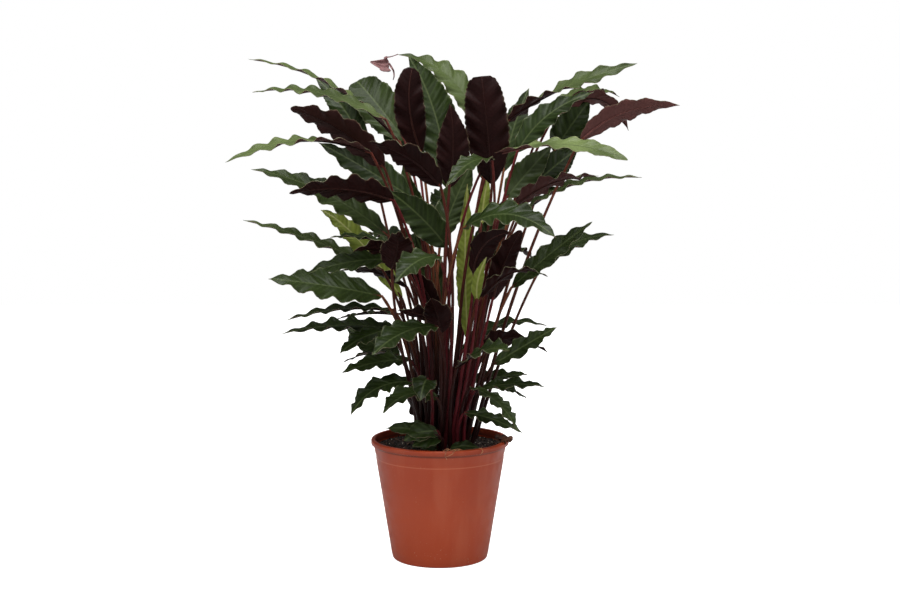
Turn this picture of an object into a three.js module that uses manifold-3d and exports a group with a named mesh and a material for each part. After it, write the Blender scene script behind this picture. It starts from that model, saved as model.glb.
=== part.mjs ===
// Potted calathea: a tapered pot, its soil, and leaves that rise from one clump.
// Millimetres, +Z up. The origin is the middle of the pot's base. -Y is the front.
import * as THREE from "three";
import { mergeVertices } from "three/addons/utils/BufferGeometryUtils.js";
import Module from "manifold-3d";

// Pot and soil
const POT_HEIGHT = 167;
const BASE_RADIUS = 66;
const RIM_RADIUS = 95;
const LIP_HEIGHT = 7.5;
const LIP_REACH = 3.5;
const WALL = 2;
const FLOOR = 3;
const STEP_DROP = 20;
const STEP_DEPTH = 0.8;
const POT_ROUND = 2;
const LIP_ROUND = 0.8;
const POT_SIDES = 36;
const DRAIN_RADIUS = 5;
const DRAIN_CIRCLE = 40;
const DRAIN_COUNT = 4;
const DRAIN_SIDES = 10;
const SOIL_TOP = 156;
const SOIL_MOUND = 3;
const MOUND_RADIUS = 50;
const SOIL_SLOPE = 0.8;
const GAP = 0.3;

// Stalks
const CROWN_HEIGHT = SOIL_TOP + SOIL_MOUND + 3;
const ROOT_DEPTH = 24;
const FOCUS_DEPTH = 120;
const CROWN_SPACING = 8.2;
const JOINED_SPACING = 3.4;
const CROWN_ROUNDS = 200;
const ROOT_RADIUS = 2.9;
const STALK_TOP_RADIUS = 1.7;
const HOLE_GAP = 0.4;
const STALK_PARTS = 2;
const STALK_TAPER = 1.5;
const STALK_BEND = 0.4;
const STALK_LEAN = 0.6;

// Blades
const EDGE_THICKNESS = 1;
const RIB_THICKNESS = 1.8;
const WIDEST_AT = 0.42;
const HALF_WAVE = 13.5;
const MOST_HALF_WAVES = 15;
const WAVE_SHARE = 0.062;
const WAVE_SWELL = 0.6;
const WAVE_REACH = 1.6;
const FOLD_SHARE = 0.12;
const FOLD_REACH = 1.5;
const BASE_ROUNDNESS = 0.7;

// Leaves that would touch are moved apart, front to back.
const CLEARANCE = 5;
const CELL = 5;
const SAMPLE_STEP = 3;
const ROUNDS = 160;
const LOW_SHARE = 0.5;
const LEAST_WEIGHT = 0.02;
const EAGERNESS = 1.3;
const MOST_STEP = 6;
const STIFFNESS = 0.05;
const CELLS_ACROSS = 1000;

const GREEN = 0x4c6b3a;
const BURGUNDY = 0x5a2432;
const YOUNG = 0x93a05a;
const TERRACOTTA = 0xb0562f;
const EARTH = 0x2b211b;

// The leaves of each shoot: colour of the side that shows, the blade's base, middle and tip,
// its width, and the ways that its upper side faces at the base and at the tip. A bluntness
// below 1 makes the tip broader.
const SHOOTS = {
  left_high: [
    [GREEN, [-56, 60, 573], [-154, 90, 653], [-272, 115, 689], 42, [-0.1, 0.3, 1], [0, -0.22, 1]],
    [GREEN, [-50, 95, 574], [-92, 125, 628], [-124, 160, 662], 62, [0.1, -0.9, 0.45], [-0.2, -0.8, 0.6], 0.5],
  ],
  left_second: [
    [GREEN, [-73, 5, 604], [-163, 15, 640], [-256, 25, 641], 42, [0, -0.35, 1], [0, -0.25, 1]],
    [BURGUNDY, [-74, -30, 539], [-131, -50, 590], [-196, -65, 619], 48, [0.1, 0.75, 0.65], [0, 0.6, 0.8], 0.7],
    [GREEN, [-49, 0, 313], [-130, 5, 323], [-219, 10, 310], 40, [0, -0.3, 1], [0, -0.3, 1]],
  ],
  left_back_dark: [
    [GREEN, [-103, 110, 558], [-142, 135, 623], [-181, 160, 663], 38, [-0.5, -0.4, 0.7], [-0.4, -0.2, 0.9]],
    [GREEN, [-57, 60, 272], [-97, 80, 289], [-135, 100, 308], 40, [0, -0.8, 0.5], [0, -0.8, 0.5]],
  ],
  left_long: [
    [GREEN, [-91, -45, 560], [-178, -75, 577], [-278, -95, 549], 44, [0.1, 0.35, 1], [-0.2, -0.55, 0.85]],
    [GREEN, [-78, -15, 401], [-168, -25, 441], [-265, -30, 470], 40, [0, -0.25, 1], [0, -0.25, 1]],
    [GREEN, [-63, -30, 349], [-134, -40, 351], [-206, -50, 337], 38, [0, -0.1, 1], [0, -0.1, 1]],
  ],
  left_inner_green: [
    [GREEN, [-38, 20, 497], [-98, 20, 535], [-166, 20, 573], 48, [0, -0.85, 0.5], [0, -0.7, 0.7]],
    [BURGUNDY, [-45, 8, 375], [-90, 10, 396], [-137, 12, 398], 34, [0, 0.4, 0.95], [0, 0.4, 0.95]],
  ],
  left_mid_long: [
    [GREEN, [-71, 25, 444], [-162, 30, 505], [-261, 35, 536], 46, [-0.2, -0.6, 0.8], [0, -0.4, 0.9]],
    [GREEN, [-55, 15, 277], [-95, 15, 283], [-134, 15, 270], 28, [0, 0.1, 1], [0, 0, 1]],
  ],
  left_burgundy_big: [
    [BURGUNDY, [-60, -55, 498], [-123, -85, 515], [-193, -110, 510], 48, [0, 0.8, 0.6], [0, 0.5, 0.85], 0.8],
    [GREEN, [-48, -42, 430], [-98, -50, 448], [-145, -60, 449], 32, [0, -0.15, 1], [0, -0.15, 1]],
    [GREEN, [-40, -32, 281], [-86, -45, 279], [-131, -65, 268], 36, [0, -0.4, 0.9], [0, -0.4, 0.9]],
  ],
  left_young: [
    [YOUNG, [-53, 60, 354], [-115, 70, 437], [-168, 80, 478], 36, [0.3, -0.8, 0.4], [0.2, -0.7, 0.6]],
    [GREEN, [-56, 45, 334], [-104, 60, 333], [-155, 75, 321], 28, [0, 0.1, 1], [0, 0, 1]],
  ],
  left_green_mid: [
    [BURGUNDY, [-47, -72, 413], [-81, -90, 437], [-112, -108, 433], 36, [0, 0.6, 0.8], [0, 0.5, 0.9]],
    [GREEN, [-53, -60, 419], [-117, -66, 416], [-184, -70, 398], 42, [0, -0.5, 0.85], [0, -0.5, 0.85]],
  ],
  left_bottom_long: [
    [BURGUNDY, [-62, -95, 409], [-54, -130, 438], [-51, -175, 465], 44, [0, 0.75, 0.65], [0, 0.75, 0.65]],
    [GREEN, [-34, -50, 254], [-84, -90, 248], [-116, -120, 220], 40, [-0.3, -0.5, 0.8], [-0.5, -0.5, 0.7]],
    [GREEN, [-15, -72, 269], [-20, -98, 264], [-24, -118, 246], 32, [0, -0.7, 0.7], [0, -0.8, 0.5]],
  ],
  left_green_big: [
    [GREEN, [-76, -65, 372], [-148, -85, 389], [-222, -100, 399], 54, [0, -0.65, 0.75], [0, -0.6, 0.8]],
  ],
  front_left_green: [
    [GREEN, [-3, -75, 336], [-45, -135, 335], [-83, -185, 313], 50, [-0.3, -0.6, 0.75], [-0.3, -0.7, 0.65]],
    [BURGUNDY, [2, -75, 324], [-3, -95, 352], [-11, -125, 376], 38, [0, 0.8, 0.6], [0, 0.8, 0.6]],
  ],
  left_low_green: [
    [GREEN, [-69, -40, 321], [-102, -70, 315], [-132, -100, 297], 34, [-0.3, -0.6, 0.7], [-0.3, -0.6, 0.7]],
  ],
  left_bottom: [
    [GREEN, [-3, -60, 234], [-42, -90, 243], [-72, -130, 229], 40, [-0.2, -0.5, 0.8], [-0.3, -0.6, 0.7]],
  ],
  left_bottom_burgundy: [
    [BURGUNDY, [-12, 62, 168], [-29, 66, 192], [-50, 70, 219], 42, [0.4, 0.7, 0.5], [0.4, 0.7, 0.5]],
  ],
  soil_left_front: [
    [GREEN, [-2, -54, 185], [-36, -52, 193], [-73, -46, 193], 28, [-0.1, -0.6, 0.8], [0, -0.6, 0.8]],
    [GREEN, [-3, -62, 190], [-29, -70, 189], [-47, -72, 178], 26, [-0.2, -0.8, 0.5], [-0.2, -0.8, 0.4]],
    [GREEN, [3, -68, 180], [-17, -76, 179], [-37, -78, 171], 24, [0, -0.7, 0.7], [0, -0.7, 0.6]],
  ],
  right_bottom: [
    [GREEN, [34, -52, 212], [70, -68, 206], [111, -88, 191], 34, [0.2, -0.4, 0.85], [0.2, -0.4, 0.85]],
  ],
  right_droop: [
    [GREEN, [41, -45, 248], [77, -95, 235], [101, -130, 204], 38, [0.5, -0.5, 0.7], [0.6, -0.6, 0.4]],
  ],
  right_low_green: [
    [GREEN, [49, -30, 240], [95, -40, 249], [142, -48, 247], 36, [0, -0.35, 0.95], [0, -0.35, 0.95]],
    [GREEN, [72, -25, 276], [118, -40, 307], [156, -50, 330], 42, [0.2, -0.7, 0.7], [0.1, -0.6, 0.8]],
  ],
  right_low_small: [
    [GREEN, [62, 50, 229], [95, 70, 223], [124, 85, 206], 30, [0, -0.3, 0.9], [0.2, -0.3, 0.9]],
    [GREEN, [152, 100, 611], [208, 125, 645], [258, 145, 636], 30, [0, -0.3, 0.95], [0, -0.3, 0.95]],
  ],
  back_low_right: [
    [GREEN, [39, 52, 235], [85, 75, 240], [126, 90, 240], 34, [0, -0.3, 0.9], [0, -0.3, 0.9]],
    [GREEN, [50, 62, 285], [100, 115, 290], [160, 160, 262], 42, [0.2, 0.1, 1], [0.3, 0.2, 0.9]],
  ],
  right_low_thin: [
    [GREEN, [31, 40, 283], [87, 60, 315], [152, 80, 312], 32, [0, -0.2, 1], [0, -0.2, 1]],
    [GREEN, [59, 95, 589], [13, 125, 664], [-62, 150, 697], 44, [0, -0.6, 0.8], [0, -0.45, 0.9]],
  ],
  front_right_low: [
    [GREEN, [23, -65, 276], [58, -115, 306], [90, -150, 311], 44, [0.1, -0.5, 0.85], [0.1, -0.6, 0.8]],
  ],
  right_dark_upright: [
    [BURGUNDY, [61, -8, 290], [87, -24, 309], [117, -36, 312], 38, [0.2, 0.6, 0.7], [0.2, 0.6, 0.7]],
    [BURGUNDY, [71, -20, 361], [87, -25, 413], [109, -35, 457], 36, [-0.3, 0.85, 0.3], [-0.3, 0.85, 0.3], 0.7],
    [BURGUNDY, [102, -25, 489], [151, -45, 521], [211, -55, 530], 40, [0, 0.6, 0.8], [0, 0.1, 1]],
  ],
  right_green_mid: [
    [GREEN, [97, -10, 377], [149, -20, 425], [205, -25, 468], 42, [0.1, -0.6, 0.8], [0.1, -0.6, 0.8]],
    [YOUNG, [112, 10, 478], [184, 5, 517], [275, 0, 526], 34, [0, 0.2, 1], [0, 0, 1]],
  ],
  right_mid_back: [
    [GREEN, [141, 75, 395], [189, 95, 429], [249, 115, 440], 36, [0, -0.4, 0.9], [0, -0.3, 0.95]],
  ],
  right_arching: [
    [BURGUNDY, [52, -45, 363], [98, -62, 403], [143, -78, 398], 34, [0, 0.3, 0.95], [0, 0.2, 1]],
    [GREEN, [69, -66, 551], [41, -110, 550], [9, -150, 520], 40, [-0.2, -0.4, 0.9], [-0.2, -0.6, 0.75]],
  ],
  front_right_green: [
    [GREEN, [30, -82, 465], [88, -132, 486], [145, -175, 459], 54, [0, -0.55, 0.85], [0.2, -0.6, 0.8]],
    [GREEN, [0, -104, 429], [-28, -146, 426], [-54, -184, 403], 46, [-0.2, -0.6, 0.8], [-0.2, -0.7, 0.7]],
  ],
  right_burgundy_mid: [
    [BURGUNDY, [46, -60, 395], [59, -80, 440], [95, -95, 459], 34, [0.7, 0.6, 0.3], [0.3, 0.6, 0.7]],
    [YOUNG, [50, -60, 365], [51, -75, 394], [62, -85, 425], 16, [-0.2, -0.9, 0.3], [-0.2, -0.9, 0.3]],
  ],
  centre_young: [
    [YOUNG, [39, 28, 296], [35, 36, 407], [38, 45, 516], 28, [0.35, -0.9, 0.1], [0.35, -0.9, 0.1]],
  ],
  right_dark_green: [
    [GREEN, [90, -5, 498], [120, 5, 533], [153, 15, 568], 40, [0, -0.9, 0.4], [0, -0.9, 0.4]],
    [GREEN, [105, 0, 560], [146, -2, 610], [208, -5, 641], 40, [0.1, -0.6, 0.7], [0.1, -0.5, 0.8]],
  ],
  right_dark_wide: [
    [GREEN, [119, 30, 505], [155, 45, 537], [192, 60, 564], 46, [0.2, -0.8, 0.6], [0.2, -0.8, 0.6]],
  ],
  top_burgundy_right: [
    [BURGUNDY, [70, -45, 518], [62, -70, 600], [54, -70, 671], 62, [0.1, 0.98, 0.1], [0, 0.98, 0.2], 0.4],
    [GREEN, [66, -40, 556], [158, -75, 572], [244, -100, 552], 46, [0, 0.15, 1], [0.1, -0.75, 0.7], 0.8],
  ],
  top_burgundy_centre: [
    [BURGUNDY, [13, -60, 515], [18, -78, 571], [14, -85, 624], 44, [0, 0.97, 0.2], [0, 0.97, 0.2]],
  ],
  top_burgundy_left: [
    [BURGUNDY, [2, -90, 517], [-40, -115, 556], [-90, -135, 576], 42, [-0.2, 0.7, 0.7], [-0.1, 0.5, 0.85]],
  ],
  top_burgundy_upright: [
    [BURGUNDY, [-25, -20, 559], [-40, -42, 622], [-34, -42, 679], 46, [-0.1, 0.97, 0.1], [-0.1, 0.97, 0.2], 0.5],
  ],
  right_top_wavy: [
    [GREEN, [90, 35, 600], [165, 40, 645], [272, 45, 681], 54, [-0.2, 0.6, 0.8], [0.1, -0.8, 0.65]],
    [GREEN, [88, 55, 531], [103, 75, 592], [125, 95, 648], 38, [-0.3, -0.8, 0.4], [-0.3, -0.8, 0.4]],
    [YOUNG, [57, 35, 459], [61, 42, 493], [68, 50, 532], 16, [0.2, -0.9, 0.3], [0.2, -0.9, 0.3]],
  ],
  right_burgundy_back: [
    [BURGUNDY, [163, 55, 617], [223, 70, 632], [265, 80, 588], 38, [0.2, 0.6, 0.75], [0.6, 0.5, 0.5]],
    [GREEN, [159, 70, 559], [183, 75, 595], [210, 80, 632], 46, [0.2, -0.9, 0.3], [0.2, -0.9, 0.3]],
  ],
  right_burgundy: [
    [BURGUNDY, [189, -15, 576], [246, -30, 614], [318, -45, 623], 44, [0, 0.75, 0.65], [0, 0.75, 0.65]],
  ],
  top_green_back: [
    [GREEN, [13, 60, 506], [-8, 85, 614], [-45, 105, 693], 60, [-0.1, -0.95, 0.25], [-0.1, -0.9, 0.4]],
  ],
  centre_back_green: [
    [GREEN, [1, 45, 440], [21, 55, 492], [47, 65, 547], 44, [-0.2, -0.9, 0.3], [-0.2, -0.9, 0.3]],
    [GREEN, [-14, 40, 441], [-37, 45, 486], [-51, 50, 544], 34, [-0.2, -0.9, 0.3], [-0.2, -0.9, 0.3]],
  ],
  centre_green: [
    [GREEN, [10, -20, 432], [-26, -42, 475], [-68, -50, 510], 44, [-0.3, -0.8, 0.5], [-0.3, -0.8, 0.5]],
    [BURGUNDY, [-2, -25, 331], [-26, -60, 350], [-54, -85, 356], 34, [0, 0.5, 0.85], [0, 0.5, 0.85]],
    [BURGUNDY, [-5, -26, 344], [-21, -25, 378], [-43, -35, 406], 28, [0, 0.8, 0.6], [0, 0.8, 0.6]],
  ],
  back_low_left: [
    [GREEN, [-45, 60, 300], [-90, 120, 305], [-140, 175, 280], 42, [-0.2, 0.1, 1], [-0.3, 0.2, 0.9]],
  ],
  back_low_centre: [
    [GREEN, [5, 70, 262], [-5, 130, 262], [-20, 190, 232], 40, [0, 0.1, 1], [0, 0.3, 0.9]],
    [GREEN, [1, 75, 343], [-17, 95, 391], [-39, 105, 444], 44, [-0.2, -0.9, 0.3], [-0.2, -0.9, 0.3]],
  ],
  back_mid_left: [
    [GREEN, [-40, 92, 420], [-80, 150, 440], [-135, 205, 425], 48, [-0.2, -0.1, 1], [-0.3, 0.2, 0.9]],
  ],
  back_mid_right: [
    [GREEN, [50, 80, 400], [95, 150, 418], [140, 215, 395], 48, [0.2, -0.1, 1], [0.3, 0.2, 0.9]],
    [GREEN, [48, 75, 386], [69, 90, 434], [93, 100, 493], 44, [0.2, -0.9, 0.3], [0.2, -0.9, 0.3]],
  ],
  back_mid_centre: [
    [GREEN, [8, 85, 455], [10, 150, 490], [5, 225, 500], 50, [0, -0.4, 0.9], [0, -0.2, 1]],
  ],
  back_high_left: [
    [GREEN, [-30, 95, 540], [-65, 160, 585], [-120, 215, 600], 50, [0, -0.5, 0.85], [-0.2, -0.1, 1]],
  ],
  back_high_right: [
    [GREEN, [60, 100, 520], [95, 165, 565], [150, 225, 580], 50, [0, -0.5, 0.85], [0.2, -0.1, 1]],
  ],
};

const FOCUS = new THREE.Vector3(0, 0, SOIL_TOP - FOCUS_DEPTH);
const wasm = await Module();
wasm.setup();
const potted = new THREE.Group();

function vector(numbers) {
  return new THREE.Vector3(...numbers);
}

// ---------------------------------------------------------------- closed solids

function geometryOf(points, triangles) {
  const geometry = new THREE.BufferGeometry();
  const flat = points.flatMap((point) => [point.x, point.y, point.z]);
  geometry.setAttribute("position", new THREE.Float32BufferAttribute(flat, 3));
  geometry.setIndex(triangles.flat());
  return geometry;
}

function manifoldOf(geometry) {
  const bare = geometry.clone();
  bare.deleteAttribute("normal");
  bare.deleteAttribute("uv");
  const merged = mergeVertices(bare, 1e-4);
  const vertProperties = new Float32Array(merged.attributes.position.array);
  const triVerts = new Uint32Array(merged.index.array);
  return new wasm.Manifold(new wasm.Mesh({ numProp: 3, vertProperties, triVerts }));
}

function geometryFrom(manifold) {
  const mesh = manifold.getMesh();
  const geometry = new THREE.BufferGeometry();
  geometry.setAttribute("position", new THREE.BufferAttribute(mesh.vertProperties, 3));
  geometry.setIndex(new THREE.BufferAttribute(mesh.triVerts, 1));
  return geometry;
}

function addMesh(name, geometry, colour, roughness) {
  geometry.computeVertexNormals();
  const material = new THREE.MeshStandardMaterial({ color: colour, roughness, metalness: 0 });
  const mesh = new THREE.Mesh(geometry, material);
  mesh.name = name;
  potted.add(mesh);
}

function turned(outline) {
  const points = outline.map(([radius, height]) => new THREE.Vector2(radius, height));
  return new THREE.LatheGeometry(points, POT_SIDES).rotateX(Math.PI / 2);
}

// ---------------------------------------------------------------- pot and soil

// The wall's outside radius below the lip, at a height above the table.
function wallRadius(height) {
  const under = RIM_RADIUS - LIP_REACH;
  return BASE_RADIUS + ((under - BASE_RADIUS) * height) / (POT_HEIGHT - LIP_HEIGHT);
}

function makePot() {
  const lipBottom = POT_HEIGHT - LIP_HEIGHT;
  const step = POT_HEIGHT - STEP_DROP;
  const inner = RIM_RADIUS - LIP_REACH - WALL;
  const outline = [
    [0, 0],
    [wallRadius(0) - POT_ROUND, 0],
    [wallRadius(POT_ROUND), POT_ROUND],
    [wallRadius(step) - STEP_DEPTH, step],
    [wallRadius(step), step + STEP_DEPTH],
    [wallRadius(lipBottom), lipBottom],
    [RIM_RADIUS - LIP_ROUND, lipBottom + LIP_ROUND],
    [RIM_RADIUS, POT_HEIGHT - POT_ROUND],
    [RIM_RADIUS - POT_ROUND, POT_HEIGHT],
    [inner + LIP_ROUND, POT_HEIGHT - LIP_ROUND],
    [inner, lipBottom],
    [wallRadius(FLOOR) - WALL, FLOOR],
    [0, FLOOR],
  ];
  let pot = manifoldOf(turned(outline));
  for (let i = 0; i < DRAIN_COUNT; i++) {
    const angle = (2 * Math.PI * (i + 0.5)) / DRAIN_COUNT;
    const drill = new THREE.CylinderGeometry(DRAIN_RADIUS, DRAIN_RADIUS, 4 * FLOOR, DRAIN_SIDES);
    drill.rotateX(Math.PI / 2);
    drill.translate(DRAIN_CIRCLE * Math.cos(angle), DRAIN_CIRCLE * Math.sin(angle), 0);
    pot = pot.subtract(manifoldOf(drill));
  }
  addMesh("pot", geometryFrom(pot), TERRACOTTA, 0.45);
}

function makeSoil(holes) {
  const insideRadius = (height) => wallRadius(height) - WALL - GAP;
  const bottom = FLOOR + GAP;
  const outline = [
    [0, bottom],
    [insideRadius(bottom), bottom],
    [insideRadius(SOIL_TOP) - SOIL_SLOPE, SOIL_TOP],
    [MOUND_RADIUS, SOIL_TOP + SOIL_MOUND],
    [0, SOIL_TOP + SOIL_MOUND],
  ];
  let soil = manifoldOf(turned(outline));
  for (const hole of holes) {
    soil = soil.subtract(manifoldOf(hole));
  }
  addMesh("soil", geometryFrom(soil), EARTH, 1);
}

// ---------------------------------------------------------------- leaf curves

function readLeaf(node, row) {
  const [colour, base, middle, tip, width, faceBase, faceTip, bluntness = 1] = row;
  const leaf = { node, width, colour, bluntness };
  leaf.base = vector(base);
  leaf.middle = vector(middle);
  leaf.tip = vector(tip);
  leaf.faceBase = vector(faceBase);
  leaf.faceTip = vector(faceTip);
  const length = leaf.base.distanceTo(leaf.middle) + leaf.middle.distanceTo(leaf.tip);
  leaf.waves = Math.min(MOST_HALF_WAVES, Math.round(length / HALF_WAVE));
  return leaf;
}

// Stalks fan out from one point deep in the soil. A leaf's crown lies just above the soil, and
// the crowns of one shoot stand so close that their stalks are joined there.
function placeCrowns(leaves) {
  for (const leaf of leaves) {
    leaf.crown = onRay(leaf.base, CROWN_HEIGHT);
    leaf.lead = leaves.find((other) => other.node === leaf.node);
  }
  for (let round = 0; round < CROWN_ROUNDS; round++) {
    for (let i = 0; i < leaves.length; i++) {
      for (let j = i + 1; j < leaves.length; j++) {
        settleCrowns(leaves[i], leaves[j]);
      }
    }
  }
}

function settleCrowns(first, second) {
  const together = first.lead === second.lead;
  const apart = second.crown.clone().sub(first.crown);
  const joined = together && first === second.lead;
  const short = (together ? JOINED_SPACING : CROWN_SPACING) - apart.length();
  if (short > 0 || joined) {
    apart.normalize().multiplyScalar(0.5 * short);
    second.crown.add(apart);
    first.crown.sub(apart);
  }
}

// The point at a height on the ray from the focus through another point.
function onRay(point, height) {
  return FOCUS.clone().lerp(point, (height - FOCUS.z) / (point.z - FOCUS.z));
}

function bend(start, control, end, t) {
  const a = (1 - t) * (1 - t);
  const b = 2 * t * (1 - t);
  const c = t * t;
  return new THREE.Vector3()
    .addScaledVector(start, a)
    .addScaledVector(control, b)
    .addScaledVector(end, c);
}

function bendWay(start, control, end, t) {
  const first = control.clone().sub(start).multiplyScalar(1 - t);
  const second = end.clone().sub(control).multiplyScalar(t);
  return first.add(second).normalize();
}

// The blade's middle line goes through its base, middle and tip.
function bladeControl(leaf) {
  const ends = leaf.base.clone().add(leaf.tip).multiplyScalar(0.5);
  return leaf.middle.clone().multiplyScalar(2).sub(ends);
}

function stalkControl(leaf) {
  const rise = leaf.base.clone().sub(leaf.crown);
  const way = bendWay(leaf.base, bladeControl(leaf), leaf.tip, 0);
  const end = rise.clone().normalize().addScaledVector(way, STALK_LEAN).normalize();
  return leaf.base.clone().addScaledVector(end, -STALK_BEND * rise.length());
}

function stalkRadius(u) {
  return STALK_TOP_RADIUS + (ROOT_RADIUS - STALK_TOP_RADIUS) * (1 - u) ** STALK_TAPER;
}

function halfWidth(leaf, t) {
  if (t < WIDEST_AT) {
    return 0.5 * leaf.width * (1 - (1 - t / WIDEST_AT) ** 2) ** BASE_ROUNDNESS;
  }
  const angle = (0.5 * Math.PI * (t - WIDEST_AT)) / (1 - WIDEST_AT);
  return 0.5 * leaf.width * Math.cos(angle) ** leaf.bluntness;
}

// Point, way along, way across to the right, and way that the upper side faces.
function bladeFrame(leaf, t) {
  const control = bladeControl(leaf);
  const at = bend(leaf.base, control, leaf.tip, t);
  const way = bendWay(leaf.base, control, leaf.tip, t);
  const up = leaf.faceBase.clone().lerp(leaf.faceTip, t);
  up.addScaledVector(way, -up.dot(way)).normalize();
  return { at, way, up, side: way.clone().cross(up) };
}

// Height above the middle line, s from -1 at the left edge to 1 at the right edge.
function lift(leaf, t, s) {
  const fold = FOLD_SHARE * halfWidth(leaf, t) * Math.abs(s) ** FOLD_REACH;
  const swell = Math.max(0, Math.sin(Math.PI * t)) ** WAVE_SWELL;
  const wave = WAVE_SHARE * leaf.width * swell * Math.cos(Math.PI * leaf.waves * t);
  return fold + wave * Math.sign(s) * Math.abs(s) ** WAVE_REACH;
}

function bladePoint(leaf, frame, t, s) {
  return frame.at
    .clone()
    .addScaledVector(frame.side, s * halfWidth(leaf, t))
    .addScaledVector(frame.up, lift(leaf, t, s));
}

// ---------------------------------------------------------------- room between leaves

// Marks every cell of the front view that a stalk or a blade covers, with its depth there.
function footprint(leaf) {
  const stalk = new Map();
  const blade = new Map();
  const mark = (cells, point, thick, weights) => {
    const key = Math.round(point.x / CELL) * CELLS_ACROSS + Math.round(point.z / CELL);
    const cell = cells.get(key);
    if (!cell) {
      cells.set(key, { front: point.y - thick, back: point.y + thick, weights });
      return;
    }
    cell.front = Math.min(cell.front, point.y - thick);
    cell.back = Math.max(cell.back, point.y + thick);
  };
  const control = stalkControl(leaf);
  const stalkSteps = Math.ceil(leaf.base.distanceTo(leaf.crown) / SAMPLE_STEP);
  for (let i = 0; i <= stalkSteps; i++) {
    const u = i / stalkSteps;
    const point = bend(leaf.crown, control, leaf.base, u);
    const radius = stalkRadius(u);
    for (const x of [-radius, 0, radius]) {
      mark(stalk, new THREE.Vector3(point.x + x, point.y, point.z), radius, [u, 0, 0]);
    }
  }
  const bladeSteps = Math.ceil(leaf.base.distanceTo(leaf.tip) / SAMPLE_STEP);
  const sideSteps = Math.ceil(leaf.width / SAMPLE_STEP);
  for (let i = 0; i <= bladeSteps; i++) {
    const t = i / bladeSteps;
    const frame = bladeFrame(leaf, t);
    const weights = [(1 - t) * (1 - 2 * t), 4 * t * (1 - t), t * (2 * t - 1)];
    for (let j = 0; j <= sideSteps; j++) {
      mark(blade, bladePoint(leaf, frame, t, (2 * j) / sideSteps - 1), 0, weights);
    }
  }
  return [stalk, blade];
}

// Lists, for every covered cell, the stalks and blades that cover it.
function cellsOf(leaves) {
  const cells = new Map();
  leaves.forEach((leaf, index) => {
    footprint(leaf).forEach((marks, kind) => {
      for (const [key, mark] of marks) {
        if (!cells.has(key)) {
          cells.set(key, []);
        }
        cells.get(key).push({ part: 2 * index + kind, leaf: index, kind, ...mark });
      }
    });
  });
  return cells;
}

// Every two parts that share a cell keep the order that they start in, front to back.
function spread(leaves) {
  const parts = leaves.length * 2;
  const order = new Float64Array(parts * parts);
  const homes = leaves.map((leaf) => [leaf.base.y, leaf.middle.y, leaf.tip.y]);
  startOrder(cellsOf(leaves), order, parts);
  for (let round = 0; round < ROUNDS; round++) {
    const worst = new Map();
    for (const marks of cellsOf(leaves).values()) {
      compare(marks, leaves, order, parts, worst);
    }
    moveApart(leaves, worst);
    stiffen(leaves, homes);
  }
}

// The front one of two parts that lie too close comes forward, and the other goes back.
function moveApart(leaves, worst) {
  const push = leaves.map(() => [0, 0, 0]);
  const count = leaves.map(() => [0, 0, 0]);
  for (const { first, second, short } of worst.values()) {
    const share = short / (squareSum(first) + squareSum(second));
    for (const [mark, sign] of [[first, -1], [second, 1]]) {
      mark.weights.forEach((weight, i) => {
        if (Math.abs(weight) > LEAST_WEIGHT && !isLow(mark)) {
          push[mark.leaf][i] += sign * share * weight;
          count[mark.leaf][i] += 1;
        }
      });
    }
  }
  leaves.forEach((leaf, index) => {
    [leaf.base, leaf.middle, leaf.tip].forEach((point, i) => {
      if (count[index][i] > 0) {
        const step = (EAGERNESS * push[index][i]) / count[index][i];
        point.y += THREE.MathUtils.clamp(step, -MOST_STEP, MOST_STEP);
      }
    });
  });
}

// A leaf's three points are drawn towards moving as one.
function stiffen(leaves, homes) {
  leaves.forEach((leaf, index) => {
    const points = [leaf.base, leaf.middle, leaf.tip];
    const shifts = points.map((point, i) => point.y - homes[index][i]);
    const mean = (shifts[0] + shifts[1] + shifts[2]) / 3;
    points.forEach((point, i) => {
      point.y += STIFFNESS * (mean - shifts[i]);
    });
  });
}

// Adds up, for two parts that share cells, how far the second lies behind the first.
function startOrder(cells, order, parts) {
  for (const marks of cells.values()) {
    for (let i = 0; i < marks.length; i++) {
      for (let j = i + 1; j < marks.length; j++) {
        if (marks[i].leaf !== marks[j].leaf) {
          const behind = marks[j].front + marks[j].back - marks[i].front - marks[i].back;
          order[orderKey(marks[i], marks[j], parts)] += behind;
        }
      }
    }
  }
}

// Two stalks have an order of their own; all else about two leaves shares one.
function orderKey(first, second, parts) {
  const stalks = first.kind === 0 && second.kind === 0;
  return stalks ? first.part * parts + second.part : first.leaf * 2 * parts + second.leaf * 2 + 1;
}

// The low part of a stalk is held by the soil, so that only its neighbour gives way.
function isLow(mark) {
  return mark.kind === 0 && mark.weights[0] < LOW_SHARE;
}

function squareSum(mark) {
  return isLow(mark) ? 0 : mark.weights.reduce((sum, weight) => sum + weight * weight, 0);
}

function compare(marks, leaves, order, parts, worst) {
  for (let i = 0; i < marks.length; i++) {
    for (let j = i + 1; j < marks.length; j++) {
      const first = marks[i];
      const second = marks[j];
      const stalks = first.kind === 0 && second.kind === 0;
      const joined = leaves[first.leaf].node === leaves[second.leaf].node;
      if (joined || (stalks && isLow(first) && isLow(second))) {
        continue;
      }
      const key = orderKey(first, second, parts);
      if (order[key] === 0) {
        order[key] = second.front + second.back - first.front - first.back;
      }
      const forward = order[key] >= 0;
      const front = forward ? first : second;
      const back = forward ? second : first;
      const short = CLEARANCE - (back.front - front.back);
      const pair = first.part * parts + second.part;
      const known = worst.get(pair);
      if (short > 0 && (!known || short > known.short)) {
        worst.set(pair, { first: front, second: back, short });
      }
    }
  }
}

// ---------------------------------------------------------------- leaf solids

// Six points round a stalk or a blade, from the left edge's top over the right and back below.
function ringPoints(at, side, up, corners) {
  return corners.map(([across, above]) =>
    at.clone().addScaledVector(side, across).addScaledVector(up, above)
  );
}

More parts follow.
